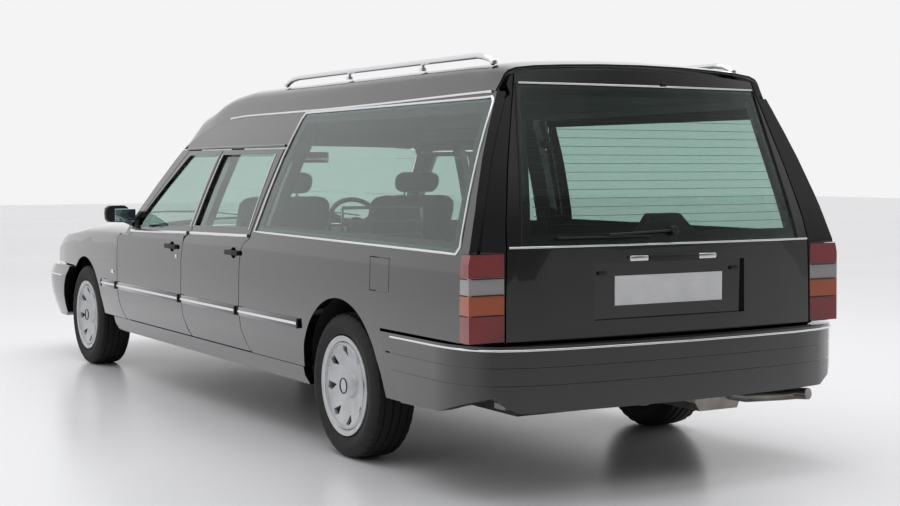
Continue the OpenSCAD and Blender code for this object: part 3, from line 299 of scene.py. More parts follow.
# ---------- bumpers ----------
# Deformable plastic mouldings painted with the body, with a bright insert below the top edge
# and two shallow grooves. The front one is rounder: its face falls back above and below.
front_bumper = finished_copy("front_bumper", "body", [gloss_black], edge=0)
activate(front_bumper)
for height in (0.30, 0.33, 0.36, 0.40, 0.44, 0.48, 0.505, 0.53, 0.555):
    bpy.ops.object.mode_set(mode="EDIT")
    bpy.ops.mesh.select_all(action="SELECT")
    bpy.ops.mesh.bisect(plane_co=(0, 0, height), plane_no=(0, 0, 1))
    bpy.ops.object.mode_set(mode="OBJECT")
FALL_BACK = [(0.262, 0.100), (0.33, 0.055), (0.40, 0.018), (0.46, 0.003), (0.52, 0.0),
             (0.545, 0.012), (0.588, 0.045)]
for vertex in front_bumper.data.vertices:
    back = lookup(FALL_BACK, vertex.co.z)
    front = max(0.0, min(1.0, (-2.2 - vertex.co.y) / 0.4))
    vertex.co.y += back * front
    vertex.co.x -= math.copysign(back * 0.35, vertex.co.x)
soft = front_bumper.modifiers.new("edge", "BEVEL")
soft.width, soft.segments, soft.limit_method = 0.006, 3, "ANGLE"
soft.angle_limit = math.radians(40)
activate(front_bumper)
bpy.ops.object.modifier_apply(modifier=soft.name)
bpy.ops.object.shade_smooth_by_angle(angle=math.radians(35))
finished_copy("rear_bumper", "body", [gloss_black], edge=0.005, angle=35)

# polished stainless trim, a mirror with faint wipe marks
bright_trim = new_material("polished_stainless_trim")
where = add(bright_trim, "TexCoord").outputs["Object"]
wipes = add(bright_trim, "TexNoise", Vector=where, Scale=18.0, Detail=6.0)
gloss = add(bright_trim, "MapRange", Value=wipes.outputs[0], in3=0.06, in4=0.2)
shader = add(bright_trim, "BsdfPrincipled", Base_Color=linear("#E6E7E9"), Metallic=1.0,
             Roughness=gloss.outputs[0])
add(bright_trim, "OutputMaterial", Surface=shader.outputs[0])

# EPDM rubber, dull black with a fine bloom
black_rubber = new_material("black_epdm_rubber")
where = add(black_rubber, "TexCoord").outputs["Object"]
bloom = add(black_rubber, "TexNoise", Vector=where, Scale=90.0, Detail=5.0)
tone = ramp(black_rubber, bloom.outputs[0], [(0.3, "#0C0C0D"), (0.7, "#161617")])
relief = add(black_rubber, "Bump", Strength=0.2, Distance=0.0005, Height=bloom.outputs[0])
shader = add(black_rubber, "BsdfPrincipled", Base_Color=tone.outputs[0], Roughness=0.6,
             Normal=relief.outputs[0])
add(black_rubber, "OutputMaterial", Surface=shader.outputs[0])


def strip(name, points, radius, body, mat, closed=False):
    """A drawn strip of round section, bent along a path and clipped to a body."""
    deselect()
    bpy.ops.curve.primitive_nurbs_path_add(location=(0, 0, 0))
    piece = bpy.context.object
    piece.name = name
    piece.data.splines.clear()
    run = piece.data.splines.new("POLY")
    run.points.add(len(points) - 1)
    for spot, place in zip(run.points, points):
        spot.co = (*place, 1.0)
    run.use_cyclic_u = closed
    piece.data.bevel_depth, piece.data.bevel_resolution = radius, 2
    piece.data.use_fill_caps = True
    activate(piece)
    bpy.ops.object.convert(target="MESH")
    bpy.ops.object.shade_smooth_by_angle(angle=math.radians(50))
    piece.data.materials.append(mat)
    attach(piece, body)
    return piece


# half plan of a bumper: distance from the middle, and back from the foremost point
PLAN = [(0.0, 0.0), (0.300, 0.008), (0.560, 0.026), (0.700, 0.050), (0.790, 0.084),
        (0.846, 0.130), (0.880, 0.190), (0.899, 0.270), (0.906, 0.360), (0.906, 0.640)]
rear_line = [(x, 2.790 - back + 0.001, 0.556) for x, back in PLAN[:-1]] + [(0.907, 2.10, 0.556)]
strip("rear_bumper_insert", [(-x, y, z) for x, y, z in rear_line[:0:-1]] + rear_line, 0.0045,
      "body", bright_trim)
front_line = [(x * 0.997, -2.790 + back - 0.001, 0.522) for x, back in PLAN[:-1]]
front_line.append((0.904, -2.26, 0.522))
strip("front_bumper_insert", [(-x, y, z) for x, y, z in front_line[:0:-1]] + front_line, 0.005,
      "body", bright_trim)

# ---------- bright strips and mouldings on the sides ----------
# Stainless beads along the gutter and round each long side window, a deeper one under the door
# windows, and a black rubbing strip with a bright line, in a length for each panel.


def block(name, low, high, edge, mat, body, segments=3):
    """A moulded block with rounded edges."""
    deselect()
    low, high = Vector(low), Vector(high)
    bpy.ops.mesh.primitive_cube_add(size=1, location=(low + high) / 2)
    piece = bpy.context.object
    piece.name = name
    piece.scale = high - low
    bpy.ops.object.transform_apply(location=True, rotation=True, scale=True)
    soft = piece.modifiers.new("edge", "BEVEL")
    soft.width, soft.segments = edge, segments
    bpy.ops.object.modifier_apply(modifier=soft.name)
    bpy.ops.object.shade_smooth_by_angle(angle=math.radians(40))
    piece.data.materials.append(mat)
    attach(piece, body)
    return piece


GUTTER = [(-0.020, 1.450), (0.150, 1.458), (0.400, 1.460), (1.090, 1.463), (1.600, 1.470),
          (2.200, 1.482), (2.310, 1.484), (2.440, 1.486)]
LONG_PANE = [(0.758, 0.9255), (0.864, 1.420), (0.877, 1.436), (2.448, 1.448), (2.460, 1.436),
             (2.550, 0.925), (2.540, 0.912)]


def grown(outline, by):
    """An outline of (y, z) points moved outwards by a distance, as if mitred."""
    result = []
    for i, spot in enumerate(outline):
        before, here, after = (Vector(outline[(i + k) % len(outline)]) for k in (-1, 0, 1))
        a, b = (here - before).normalized(), (after - here).normalized()
        out = Vector((-(a.y + b.y), a.x + b.x)).normalized()
        cos = max(0.4, out.dot(Vector((-a.y, a.x))))
        result.append((here.x + out.x * by / cos, here.y + out.y * by / cos))
    return result


def divided(outline, step=0.08, closed=True):
    """The same outline with points no further apart than a step."""
    result = []
    ends = outline[1:] + outline[:1] if closed else outline[1:]
    for (y0, z0), (y1, z1) in zip(outline, ends):
        count = max(1, int(math.hypot(y1 - y0, z1 - z0) / step))
        result += [(y0 + (y1 - y0) * k / count, z0 + (z1 - z0) * k / count) for k in range(count)]
    return result if closed else result + [outline[-1]]


for side, tag in ((1, "left"), (-1, "right")):
    strip(f"{tag}_gutter_strip", [skin(y, z, 0.002, side) for y, z in GUTTER], 0.0055, "body",
          bright_trim)
    strip(f"{tag}_long_window_frame",
          [skin(y, z, 0.001, side) for y, z in divided(grown(LONG_PANE, 0.017))], 0.0055, "body",
          bright_trim, closed=True)
    # the drip rail over the doors ends just before the long window
    strip(f"{tag}_drip_rail", [skin(y, z, 0.003, side) for y, z in
                               [(-0.455, 1.299), (-0.30, 1.301), (0.30, 1.303), (0.79, 1.305)]],
          0.006, "body", gloss_black)
    # door window sills
    strip(f"{tag}_front_sill_strip", [skin(y, z, 0.002, side) for y, z in
                                      [(-0.965, 0.852), (-0.60, 0.860), (-0.105, 0.872)]], 0.0085,
          f"front_{tag}_door", bright_trim)
    strip(f"{tag}_rear_sill_strip", [skin(y, z, 0.002, side) for y, z in
                                     [(-0.055, 0.873), (0.3, 0.879), (0.672, 0.886)]], 0.0085,
          f"rear_{tag}_door", bright_trim)
    # bright edges of the window frames
    for piece_name, body, line in [
            ("front_frame_edge", f"front_{tag}_door", [(-0.076, 0.905), (0.010, 1.262)]),
            ("rear_frame_edge", f"rear_{tag}_door", [(0.665, 0.915), (0.712, 1.266)]),
            ("centre_frame_edge", f"rear_{tag}_door", [(-0.034, 0.905), (0.062, 1.268)])]:
        strip(f"{tag}_{piece_name}",
              [skin(y, z, 0.0005, side) for y, z in divided(line, 0.05, closed=False)], 0.0035,
              body, bright_trim)
    # rubbing strips, 42 mm deep and 11 mm proud, each with black caps at its ends
    for piece_name, body, y0, y1 in [("fender", "body", -1.500, -1.236),
                                     ("front_door", f"front_{tag}_door", -1.214, -0.222),
                                     ("rear_door", f"rear_{tag}_door", -0.194, 0.538),
                                     ("quarter", "body", 0.566, 1.238)]:
        x0, x1 = sorted((side * 0.885, side * 0.8985))
        block(f"{tag}_{piece_name}_moulding", (x0, y0, 0.507), (x1, y1, 0.549), 0.004,
              gloss_black, body)
        x0, x1 = sorted((side * 0.897, side * 0.9005))
        block(f"{tag}_{piece_name}_moulding_insert", (x0, y0 + 0.012, 0.522),
              (x1, y1 - 0.012, 0.534), 0.0015, bright_trim, body)
        for end, y in (("front", y0), ("rear", y1 - 0.010)):
            x0, x1 = sorted((side * 0.886, side * 0.9003))
            block(f"{tag}_{piece_name}_moulding_{end}_cap", (x0, y, 0.5065), (x1, y + 0.010, 0.5495),
                  0.0025, black_rubber, body)

# ---------- door handles and locks ----------
# Black pull handles of glass-filled nylon standing on two feet each, with a bright key barrel
# below the front one.
for side, tag in ((1, "left"), (-1, "right")):
    for end, y, z in (("front", -0.324, 0.792), ("rear", 0.502, 0.800)):
        x0, x1 = sorted((side * 0.889, side * 0.9025))
        block(f"{end}_{tag}_pull", (x0, y - 0.085, z - 0.012), (x1, y + 0.075, z + 0.012), 0.006,
              black_rubber, f"{end}_{tag}_door")
        x0, x1 = sorted((side * 0.880, side * 0.8905))
        for k, spot in enumerate((y - 0.080, y + 0.050)):
            block(f"{end}_{tag}_pull_foot_{k}", (x0, spot, z - 0.011), (x1, spot + 0.024, z + 0.011),
                  0.003, black_rubber, f"{end}_{tag}_door")
    deselect()
    bpy.ops.mesh.primitive_cylinder_add(radius=0.011, depth=0.006, vertices=32,
                                        location=(side * 0.8895, -0.262, 0.744),
                                        rotation=(0, math.pi / 2, 0))
    key = bpy.context.object
    key.name = f"{tag}_key_barrel"
    bpy.ops.object.transform_apply(location=True, rotation=True, scale=True)
    soft = key.modifiers.new("edge", "BEVEL")
    soft.width, soft.segments = 0.002, 2
    bpy.ops.object.modifier_apply(modifier=soft.name)
    bpy.ops.object.shade_smooth_by_angle(angle=math.radians(40))
    key.data.materials.append(bright_trim)
    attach(key, f"front_{tag}_door")
    x0, x1 = sorted((side * 0.884, side * 0.8935))
    block(f"{tag}_side_repeater", (x0, -1.322, 0.592), (x1, -1.280, 0.612), 0.003, bright_trim,
          "body")

# ---------- glass ----------
# Green-tinted safety glass, 5 mm thick. The long side panes and the tailgate pane have a black
# fired border, and the tailgate pane carries printed heating lines.
tinted_glass = new_material("green_tinted_safety_glass")
where = add(tinted_glass, "TexCoord").outputs["Object"]
film = add(tinted_glass, "TexNoise", Vector=where, Scale=3.0, Detail=5.0)
clean = add(tinted_glass, "MapRange", Value=film.outputs[0], in3=0.0, in4=0.02)
body_glass = add(tinted_glass, "BsdfPrincipled", Base_Color=linear("#C9DDD6"),
                 Roughness=clean.outputs[0], IOR=1.5, Transmission_Weight=1.0)
let_through = add(tinted_glass, "BsdfTransparent", Color=linear("#C9DDD6"))
ray = add(tinted_glass, "LightPath")
pane = add(tinted_glass, "MixShader", in0=ray.outputs["Is Shadow Ray"],
           in1=body_glass.outputs[0], in2=let_through.outputs[0])
add(tinted_glass, "OutputMaterial", Surface=pane.outputs[0])
for node in ("windscreen", "side_windows", "tailgate_window", "front_left_window",
             "front_right_window", "rear_left_window", "rear_right_window"):
    nodes[node].data.materials.clear()
    nodes[node].data.materials.append(tinted_glass)

fired_border = new_material("black_fired_enamel")  # baked ceramic ink, satin
where = add(fired_border, "TexCoord").outputs["Object"]
print_grain = add(fired_border, "TexNoise", Vector=where, Scale=600.0)
dull = add(fired_border, "MapRange", Value=print_grain.outputs[0], in3=0.3, in4=0.45)
shader = add(fired_border, "BsdfPrincipled", Base_Color=linear("#070708"),
             Roughness=dull.outputs[0])
add(fired_border, "OutputMaterial", Surface=shader.outputs[0])


def ring(name, outer, inner, mat, body, thick=0.0006):
    """A thin closed band between two loops of as many points."""
    mesh = bpy.data.meshes.new(name)
    count = len(outer)
    mesh.from_pydata([*outer, *inner], [], [
        (k, (k + 1) % count, count + (k + 1) % count, count + k) for k in range(count)])
    piece = bpy.data.objects.new(name, mesh)
    bpy.context.scene.collection.objects.link(piece)
    activate(piece)
    wall = piece.modifiers.new("wall", "SOLIDIFY")
    wall.thickness, wall.offset = thick, 0
    bpy.ops.object.modifier_apply(modifier=wall.name)
    bpy.ops.object.mode_set(mode="EDIT")
    bpy.ops.mesh.select_all(action="SELECT")
    bpy.ops.mesh.normals_make_consistent(inside=False)
    bpy.ops.object.mode_set(mode="OBJECT")
    mesh.materials.append(mat)
    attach(piece, body)
    return piece


for side, tag in ((1, "left"), (-1, "right")):
    edge_line = divided(grown(LONG_PANE, 0.009), 0.05)
    deep_line = []
    for y, z in edge_line:
        deep_line.append((max(0.80 + (z - 0.9) * 0.204, min(y, 2.512 - (z - 0.92) * 0.174)),
                          max(0.938, min(z, 1.404))))
    ring(f"{tag}_long_window_border", [skin(y, z, -0.0078, side) for y, z in edge_line],
         [skin(y, z, -0.0078, side) for y, z in deep_line], fired_border, "body")

TAIL = [(0.300, 2.654), (0.570, 2.652), (0.914, 2.646), (1.050, 2.614), (1.200, 2.568),
        (1.400, 2.506), (1.510, 2.474), (1.600, 2.447)]
GATE_W = [(0.560, 0.733), (0.700, 0.732), (0.914, 0.726), (1.000, 0.716), (1.200, 0.672),
          (1.400, 0.618), (1.500, 0.590), (1.560, 0.574)]


def gate(x, z, out=0.0):
    """A point on the tailgate's face, out metres proud of it."""
    share = min(1.0, abs(x) / lookup(GATE_W, z))
    return Vector((x, lookup(TAIL, z) + 0.034 * (1 - share ** 2.4) + out, z))


def even_loop(half_low, z_low, half_high, z_high, out, per_side=16):
    """A loop round the tailgate opening with the same count of points on each side."""
    corners = [(-half_low, z_low), (-half_high, z_high), (half_high, z_high), (half_low, z_low)]
    points = []
    for (x0, z0), (x1, z1) in zip(corners, corners[1:] + corners[:1]):
        points += [gate(x0 + (x1 - x0) * k / per_side, z0 + (z1 - z0) * k / per_side, out)
                   for k in range(per_side)]
    return points


# the border is 35 to 40 mm deep, printed on the inner face of the glass
ring("tailgate_window_border", even_loop(0.657, 0.920, 0.571, 1.511, -0.0086),
     even_loop(0.622, 0.962, 0.545, 1.474, -0.0086), fired_border, "tailgate")

# the heating lines are 1 mm wide; drawn at 1.6 mm so that they show
heater_ink = new_material("fired_silver_heater_ink")
where = add(heater_ink, "TexCoord").outputs["Object"]
break_up = add(heater_ink, "TexNoise", Vector=where, Scale=40.0)
tone = ramp(heater_ink, break_up.outputs[0], [(0.3, "#3A2A20"), (0.7, "#4A382C")])
shader = add(heater_ink, "BsdfPrincipled", Base_Color=tone.outputs[0], Roughness=0.5)
add(heater_ink, "OutputMaterial", Surface=shader.outputs[0])
for k in range(15):
    z = 0.995 + k * 0.032
    half = lookup([(0.955, 0.612), (1.478, 0.535)], z)
    strip(f"heating_line_{k:02d}", [gate(-half + 2 * half * i / 14, z, -0.0088) for i in range(15)],
          0.0008, "tailgate", heater_ink)

# ---------- lamps ----------
# Acrylic lenses. The tail lamp is moulded in bands, from the top: red, clear, amber, red, with
# fine vertical flutes and a dark rib between bands.
tail_lens = new_material("moulded_acrylic_tail_lens")
where = add(tail_lens, "TexCoord").outputs["Object"]
axes = add(tail_lens, "SeparateXYZ", Vector=where)
up = add(tail_lens, "MapRange", Value=axes.outputs["Z"], in1=0.580, in2=0.896)
bands = ramp(tail_lens, up.outputs[0],
             [(0.0, "#8A0A12"), (0.305, "#8A0A12"), (0.31, "#B24C0C"), (0.535, "#B24C0C"),
              (0.54, "#A39E9E"), (0.73, "#A39E9E"), (0.735, "#8A0A12"), (1.0, "#7A080F")])
bands.color_ramp.interpolation = "CONSTANT"
around = add(tail_lens, "Math", {"operation": "ADD"}, in0=axes.outputs["X"],
             in1=axes.outputs["Y"])
flutes = add(tail_lens, "Math", {"operation": "SINE"}, in0=add(
    tail_lens, "Math", {"operation": "MULTIPLY"}, in0=around.outputs[0],
    in1=900.0).outputs[0])
grime = add(tail_lens, "TexNoise", Vector=where, Scale=30.0, Detail=4.0)
dull = add(tail_lens, "MapRange", Value=grime.outputs[0], in3=0.08, in4=0.2)
relief = add(tail_lens, "Bump", Strength=0.35, Distance=0.0006, Height=flutes.outputs[0])
shader = add(tail_lens, "BsdfPrincipled", Base_Color=bands.outputs[0], Roughness=dull.outputs[0],
             Normal=relief.outputs[0], Coat_Weight=1.0, Coat_Roughness=0.02,
             Transmission_Weight=0.15, IOR=1.49)
add(tail_lens, "OutputMaterial", Surface=shader.outputs[0])
finished_copy("tail_lamps", "body", [tail_lens], edge=0.004)
for side, tag in ((1, "left"), (-1, "right")):
    for k, z in enumerate((0.677, 0.750, 0.810)):
        # dark dividing ribs between the bands, round the corner of each lamp
        path = [(side * 0.744, 2.6540, z), (side * 0.874, 2.6520, z), (side * 0.8895, 2.640, z),
                (side * 0.8905, 2.590, z)]
        strip(f"{tag}_lamp_rib_{k}", path, 0.0022, "body", black_rubber)

head_lens = new_material("fluted_headlamp_glass")
where = add(head_lens, "TexCoord").outputs["Object"]
axes = add(head_lens, "SeparateXYZ", Vector=where)
flutes = add(head_lens, "Math", {"operation": "SINE"}, in0=add(
    head_lens, "Math", {"operation": "MULTIPLY"}, in0=axes.outputs["X"],
    in1=520.0).outputs[0])
outer_end = add(head_lens, "Math", {"operation": "ABSOLUTE"}, in0=axes.outputs["X"])
share = add(head_lens, "MapRange", Value=outer_end.outputs[0], in1=0.29, in2=0.79)
tone = ramp(head_lens, share.outputs[0], [(0.0, "#C9CED2"), (0.70, "#B4BABF"), (0.72, "#C96A18"),
                                          (1.0, "#C96A18")])
tone.color_ramp.interpolation = "CONSTANT"
mist = add(head_lens, "TexNoise", Vector=where, Scale=14.0, Detail=4.0)
dull = add(head_lens, "MapRange", Value=mist.outputs[0], in3=0.04, in4=0.12)
relief = add(head_lens, "Bump", Strength=0.5, Distance=0.001, Height=flutes.outputs[0])
shader = add(head_lens, "BsdfPrincipled", Base_Color=tone.outputs[0], Roughness=dull.outputs[0],
             Metallic=0.55, Coat_Weight=1.0, Coat_Roughness=0.02, Normal=relief.outputs[0])
add(head_lens, "OutputMaterial", Surface=shader.outputs[0])
finished_copy("headlamps", "body", [head_lens], edge=0.004)

# ---------- grille ----------
# Black moulded bars behind a bright frame.
satin_plastic = new_material("grained_black_moulding")
where = add(satin_plastic, "TexCoord").outputs["Object"]
grain = add(satin_plastic, "TexVoronoi", Vector=where, Scale=420.0)
worn = add(satin_plastic, "TexNoise", Vector=where, Scale=11.0, Detail=5.0)
tone = ramp(satin_plastic, worn.outputs[0], [(0.3, "#111112"), (0.7, "#1A1A1B")])
relief = add(satin_plastic, "Bump", Strength=0.25, Distance=0.0005, Height=grain.outputs[0])
shader = add(satin_plastic, "BsdfPrincipled", Base_Color=tone.outputs[0], Roughness=0.5,
             Normal=relief.outputs[0])
add(satin_plastic, "OutputMaterial", Surface=shader.outputs[0])
finished_copy("grille", "body", [satin_plastic], edge=0.002)
low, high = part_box("grille")
for k in range(7):
    x = low[0] + (high[0] - low[0]) * (k + 1) / 8
    block(f"grille_bar_{k}", (x - 0.004, low[1] - 0.008, low[2] + 0.012),
          (x + 0.004, low[1] + 0.014, high[2] - 0.012), 0.002, bright_trim, "body")
for k, (z0, z1) in enumerate(((low[2], low[2] + 0.012), (high[2] - 0.012, high[2]))):
    block(f"grille_frame_{k}", (low[0], low[1] - 0.010, z0), (high[0], low[1] + 0.014, z1), 0.004,
          bright_trim, "body")
for k, (x0, x1) in enumerate(((low[0], low[0] + 0.012), (high[0] - 0.012, high[0]))):
    block(f"grille_post_{k}", (x0, low[1] - 0.010, low[2] + 0.010),
          (x1, low[1] + 0.014, high[2] - 0.010), 0.004, bright_trim, "body")

# ---------- number plate and tailgate fittings ----------
# A blank white plate in its recess under the handle, a wiper across the foot of the glass,
# the high brake lamp inside it, and bright strips above and below the glass.
plate_face = new_material("white_retroreflective_sheet")
where = add(plate_face, "TexCoord").outputs["Object"]
beads = add(plate_face, "TexVoronoi", Vector=where, Scale=500.0)
film = add(plate_face, "TexNoise", Vector=where, Scale=9.0, Detail=4.0)
tone = ramp(plate_face, film.outputs[0], [(0.3, "#DEDFE0"), (0.7, "#ECECEC")])
relief = add(plate_face, "Bump", Strength=0.15, Distance=0.0003, Height=beads.outputs[0])
shader = add(plate_face, "BsdfPrincipled", Base_Color=tone.outputs[0], Roughness=0.35,
             Coat_Weight=0.5, Normal=relief.outputs[0])
add(plate_face, "OutputMaterial", Surface=shader.outputs[0])
finished_copy("number_plate", "tailgate", [plate_face], edge=0.001)
strip("tailgate_waist_strip", [gate(-0.720 + 1.44 * k / 24, 0.9165, 0.002) for k in range(25)],
      0.0045, "tailgate", bright_trim)
strip("tailgate_top_strip", [gate(-0.570 + 1.14 * k / 24, 1.519, 0.002) for k in range(25)],
      0.004, "tailgate", bright_trim)
for side, tag in ((1, "left"), (-1, "right")):
    strip(f"tailgate_{tag}_glass_strip",
          [gate(side * (0.668 - 0.088 * k / 12), 0.921 + 0.596 * k / 12, 0.0) for k in range(13)],
          0.004, "tailgate", black_rubber)
# the handle spans the recess top; its middle is black and its ends are bright
middle = gate(0, 0.865)
handle_y = middle.y + 0.001
block("tailgate_handle_middle", (-0.120, handle_y - 0.004, 0.853),
      (0.120, handle_y + 0.014, 0.879), 0.006, satin_plastic, "tailgate")
for side, tag in ((1, "left"), (-1, "right")):
    x0, x1 = sorted((side * 0.122, side * 0.208))
    block(f"tailgate_handle_{tag}_end", (x0, handle_y - 0.006, 0.855),
          (x1, handle_y + 0.012, 0.877), 0.005, bright_trim, "tailgate")
    x0, x1 = sorted((side * 0.300, side * 0.338))
    block(f"plate_lamp_{tag}", (x0, handle_y - 0.030, 0.806), (x1, handle_y - 0.010, 0.820), 0.003,
          satin_plastic, "tailgate")
pivot = gate(-0.008, 0.967, 0.010)
strip("rear_wiper_arm", [pivot, gate(0.13, 0.963, 0.022), gate(0.30, 0.957, 0.016)], 0.0045,
      "tailgate", satin_plastic)
strip("rear_wiper_blade", [gate(0.10 + 0.42 * k / 8, 0.948, 0.007) for k in range(9)], 0.0045,
      "tailgate", black_rubber)
deselect()
bpy.ops.mesh.primitive_cylinder_add(radius=0.017, depth=0.026, vertices=40, location=pivot,
                                    rotation=(math.pi / 2, 0, 0))
cap = bpy.context.object
cap.name = "rear_wiper_pivot"
bpy.ops.object.transform_apply(location=True, rotation=True, scale=True)
soft = cap.modifiers.new("edge", "BEVEL")
soft.width, soft.segments = 0.005, 3
bpy.ops.object.modifier_apply(modifier=soft.name)
bpy.ops.object.shade_smooth_by_angle(angle=math.radians(40))
cap.data.materials.append(satin_plastic)
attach(cap, "tailgate")
# high brake lamp: a tapered housing behind the glass
deselect()
bpy.ops.mesh.primitive_cube_add(size=1, location=(0, 0, 0))
lamp = bpy.context.object
lamp.name = "high_brake_lamp"
for vertex in lamp.data.vertices:
    high_end = vertex.co.z > 0
    z = 1.030 if high_end else 0.958
    half = 0.072 if high_end else 0.139
    vertex.co = gate(math.copysign(half, vertex.co.x), z, -0.014 if vertex.co.y > 0 else -0.060)
soft = lamp.modifiers.new("edge", "BEVEL")
soft.width, soft.segments = 0.008, 3
activate(lamp)
bpy.ops.object.modifier_apply(modifier=soft.name)
bpy.ops.object.shade_smooth_by_angle(angle=math.radians(40))
lamp.data.materials.append(satin_plastic)
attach(lamp, "tailgate")
nozzle = gate(-0.09, 1.528, 0.004)
block("rear_washer_nozzle", nozzle - Vector((0.012, 0.008, 0.007)),
      nozzle + Vector((0.012, 0.010, 0.007)), 0.004, satin_plastic, "tailgate")

# ---------- wheels and tyres ----------
# Moulded wheel covers sprayed silver, and black tyres with worn shoulders and four grooves.
silver_cover = new_material("silver_sprayed_wheel_cover")
where = add(silver_cover, "TexCoord").outputs["Object"]
flake = add(silver_cover, "TexVoronoi", Vector=where, Scale=900.0)
dirt = add(silver_cover, "TexNoise", Vector=where, Scale=14.0, Detail=6.0)
tone = ramp(silver_cover, dirt.outputs[0], [(0.3, "#B5B6B8"), (0.65, "#C8C9CB")])
dull = add(silver_cover, "MapRange", Value=flake.outputs[0], in3=0.3, in4=0.42)
shader = add(silver_cover, "BsdfPrincipled", Base_Color=tone.outputs[0], Metallic=0.35,
             Roughness=dull.outputs[0])
add(silver_cover, "OutputMaterial", Surface=shader.outputs[0])

worn_rubber = new_material("worn_tyre_rubber")
where = add(worn_rubber, "TexCoord").outputs["Object"]
dust = add(worn_rubber, "TexNoise", Vector=where, Scale=22.0, Detail=8.0)
tone = ramp(worn_rubber, dust.outputs[0], [(0.3, "#08080A"), (0.7, "#121213")])
relief = add(worn_rubber, "Bump", Strength=0.4, Distance=0.0008, Height=dust.outputs[0])
shader = add(worn_rubber, "BsdfPrincipled", Base_Color=tone.outputs[0], Roughness=0.72,
             Normal=relief.outputs[0])
add(worn_rubber, "OutputMaterial", Surface=shader.outputs[0])

# rolled steel, light rust bloom, for what hangs underneath
rusted_steel = new_material("dusty_underbody_steel")
where = add(rusted_steel, "TexCoord").outputs["Object"]
bloom = add(rusted_steel, "TexNoise", Vector=where, Scale=16.0, Detail=7.0)
tone = ramp(rusted_steel, bloom.outputs[0], [(0.3, "#17171A"), (0.6, "#242324"),
                                             (0.8, "#33291F")])
relief = add(rusted_steel, "Bump", Strength=0.4, Distance=0.001, Height=bloom.outputs[0])
shader = add(rusted_steel, "BsdfPrincipled", Base_Color=tone.outputs[0], Roughness=0.7,
             Metallic=0.4, Normal=relief.outputs[0])
add(rusted_steel, "OutputMaterial", Surface=shader.outputs[0])
CORNERS = [("front_left", 1), ("front_right", -1), ("rear_left", 1), ("rear_right", -1)]

# ---------- cabin and load deck materials ----------
seat_cloth = new_material("ribbed_seat_cloth")  # woven grey cloth, ribs about 6 mm apart
where = add(seat_cloth, "TexCoord").outputs["Object"]
ribs = add(seat_cloth, "TexWave", {"bands_direction": "X"}, Vector=where, Scale=52.0,
           Distortion=0.6)
nap = add(seat_cloth, "TexNoise", Vector=where, Scale=180.0, Detail=4.0)
worn = add(seat_cloth, "TexNoise", Vector=where, Scale=5.0, Detail=3.0)
tone = ramp(seat_cloth, worn.outputs[0], [(0.3, "#3A3B3E"), (0.7, "#4A4B4E")])
weave = add(seat_cloth, "Math", {"operation": "ADD"}, in0=ribs.outputs["Fac"],
            in1=nap.outputs[0])
relief = add(seat_cloth, "Bump", Strength=0.35, Distance=0.0012, Height=weave.outputs[0])
shader = add(seat_cloth, "BsdfPrincipled", Base_Color=tone.outputs[0], Roughness=0.88,
             Sheen_Weight=0.3, Normal=relief.outputs[0])
add(seat_cloth, "OutputMaterial", Surface=shader.outputs[0])

deck_board = new_material("varnished_deck_board")  # dark varnished ply, grain along the car
where = add(deck_board, "TexCoord").outputs["Object"]
along = add(deck_board, "Mapping", Vector=where, Scale=(14.0, 1.2, 14.0))
grain = add(deck_board, "TexNoise", Vector=along.outputs[0], Scale=3.0, Detail=7.0)
tone = ramp(deck_board, grain.outputs[0], [(0.3, "#2E1D12"), (0.7, "#4A3020")])
relief = add(deck_board, "Bump", Strength=0.12, Distance=0.0006, Height=grain.outputs[0])
shader = add(deck_board, "BsdfPrincipled", Base_Color=tone.outputs[0], Roughness=0.32,
             Coat_Weight=0.6, Normal=relief.outputs[0])
add(deck_board, "OutputMaterial", Surface=shader.outputs[0])

mirror_glass = new_material("silvered_mirror_glass")  # faint blue tint, water marks
where = add(mirror_glass, "TexCoord").outputs["Object"]
marks = add(mirror_glass, "TexNoise", Vector=where, Scale=60.0, Detail=4.0)
dull = add(mirror_glass, "MapRange", Value=marks.outputs[0], in3=0.0, in4=0.08)
shader = add(mirror_glass, "BsdfPrincipled", Base_Color=linear("#A9C0C4"), Metallic=1.0,
             Roughness=dull.outputs[0])
add(mirror_glass, "OutputMaterial", Surface=shader.outputs[0])

exhaust_tube = new_material("aluminised_exhaust_tube")
where = add(exhaust_tube, "TexCoord").outputs["Object"]
heat = add(exhaust_tube, "TexNoise", Vector=where, Scale=12.0, Detail=6.0)
tone = ramp(exhaust_tube, heat.outputs[0], [(0.3, "#8C8883"), (0.7, "#B7B4AE")])
dull = add(exhaust_tube, "MapRange", Value=heat.outputs[0], in3=0.25, in4=0.45)
shader = add(exhaust_tube, "BsdfPrincipled", Base_Color=tone.outputs[0], Metallic=0.9,
             Roughness=dull.outputs[0])
add(exhaust_tube, "OutputMaterial", Surface=shader.outputs[0])

# each node left is shown as a smoothed copy with its own finish
for node, body, mat in [
        ("floor_pan", "body", rusted_steel), ("front_structure", "body", rusted_steel),
        ("engine", "body", rusted_steel), ("front_axle", "body", rusted_steel),
        ("rear_axle", "body", rusted_steel), ("left_knuckle", "left_knuckle", rusted_steel),
        ("right_knuckle", "right_knuckle", rusted_steel), ("exhaust", "body", exhaust_tube),
        ("fuel_tank", "body", satin_plastic), ("roof_rails", "body", bright_trim),
        ("deck_fittings", "body", bright_trim), ("dashboard", "body", satin_plastic),
        ("steering_wheel", "steering_wheel", satin_plastic), ("load_deck", "body", deck_board),
        ("left_mirror", "front_left_door", satin_plastic),
        ("right_mirror", "front_right_door", satin_plastic)]:
    finished_copy(node, body, [mat], edge=0.003 if "mirror" in node else 0.0)

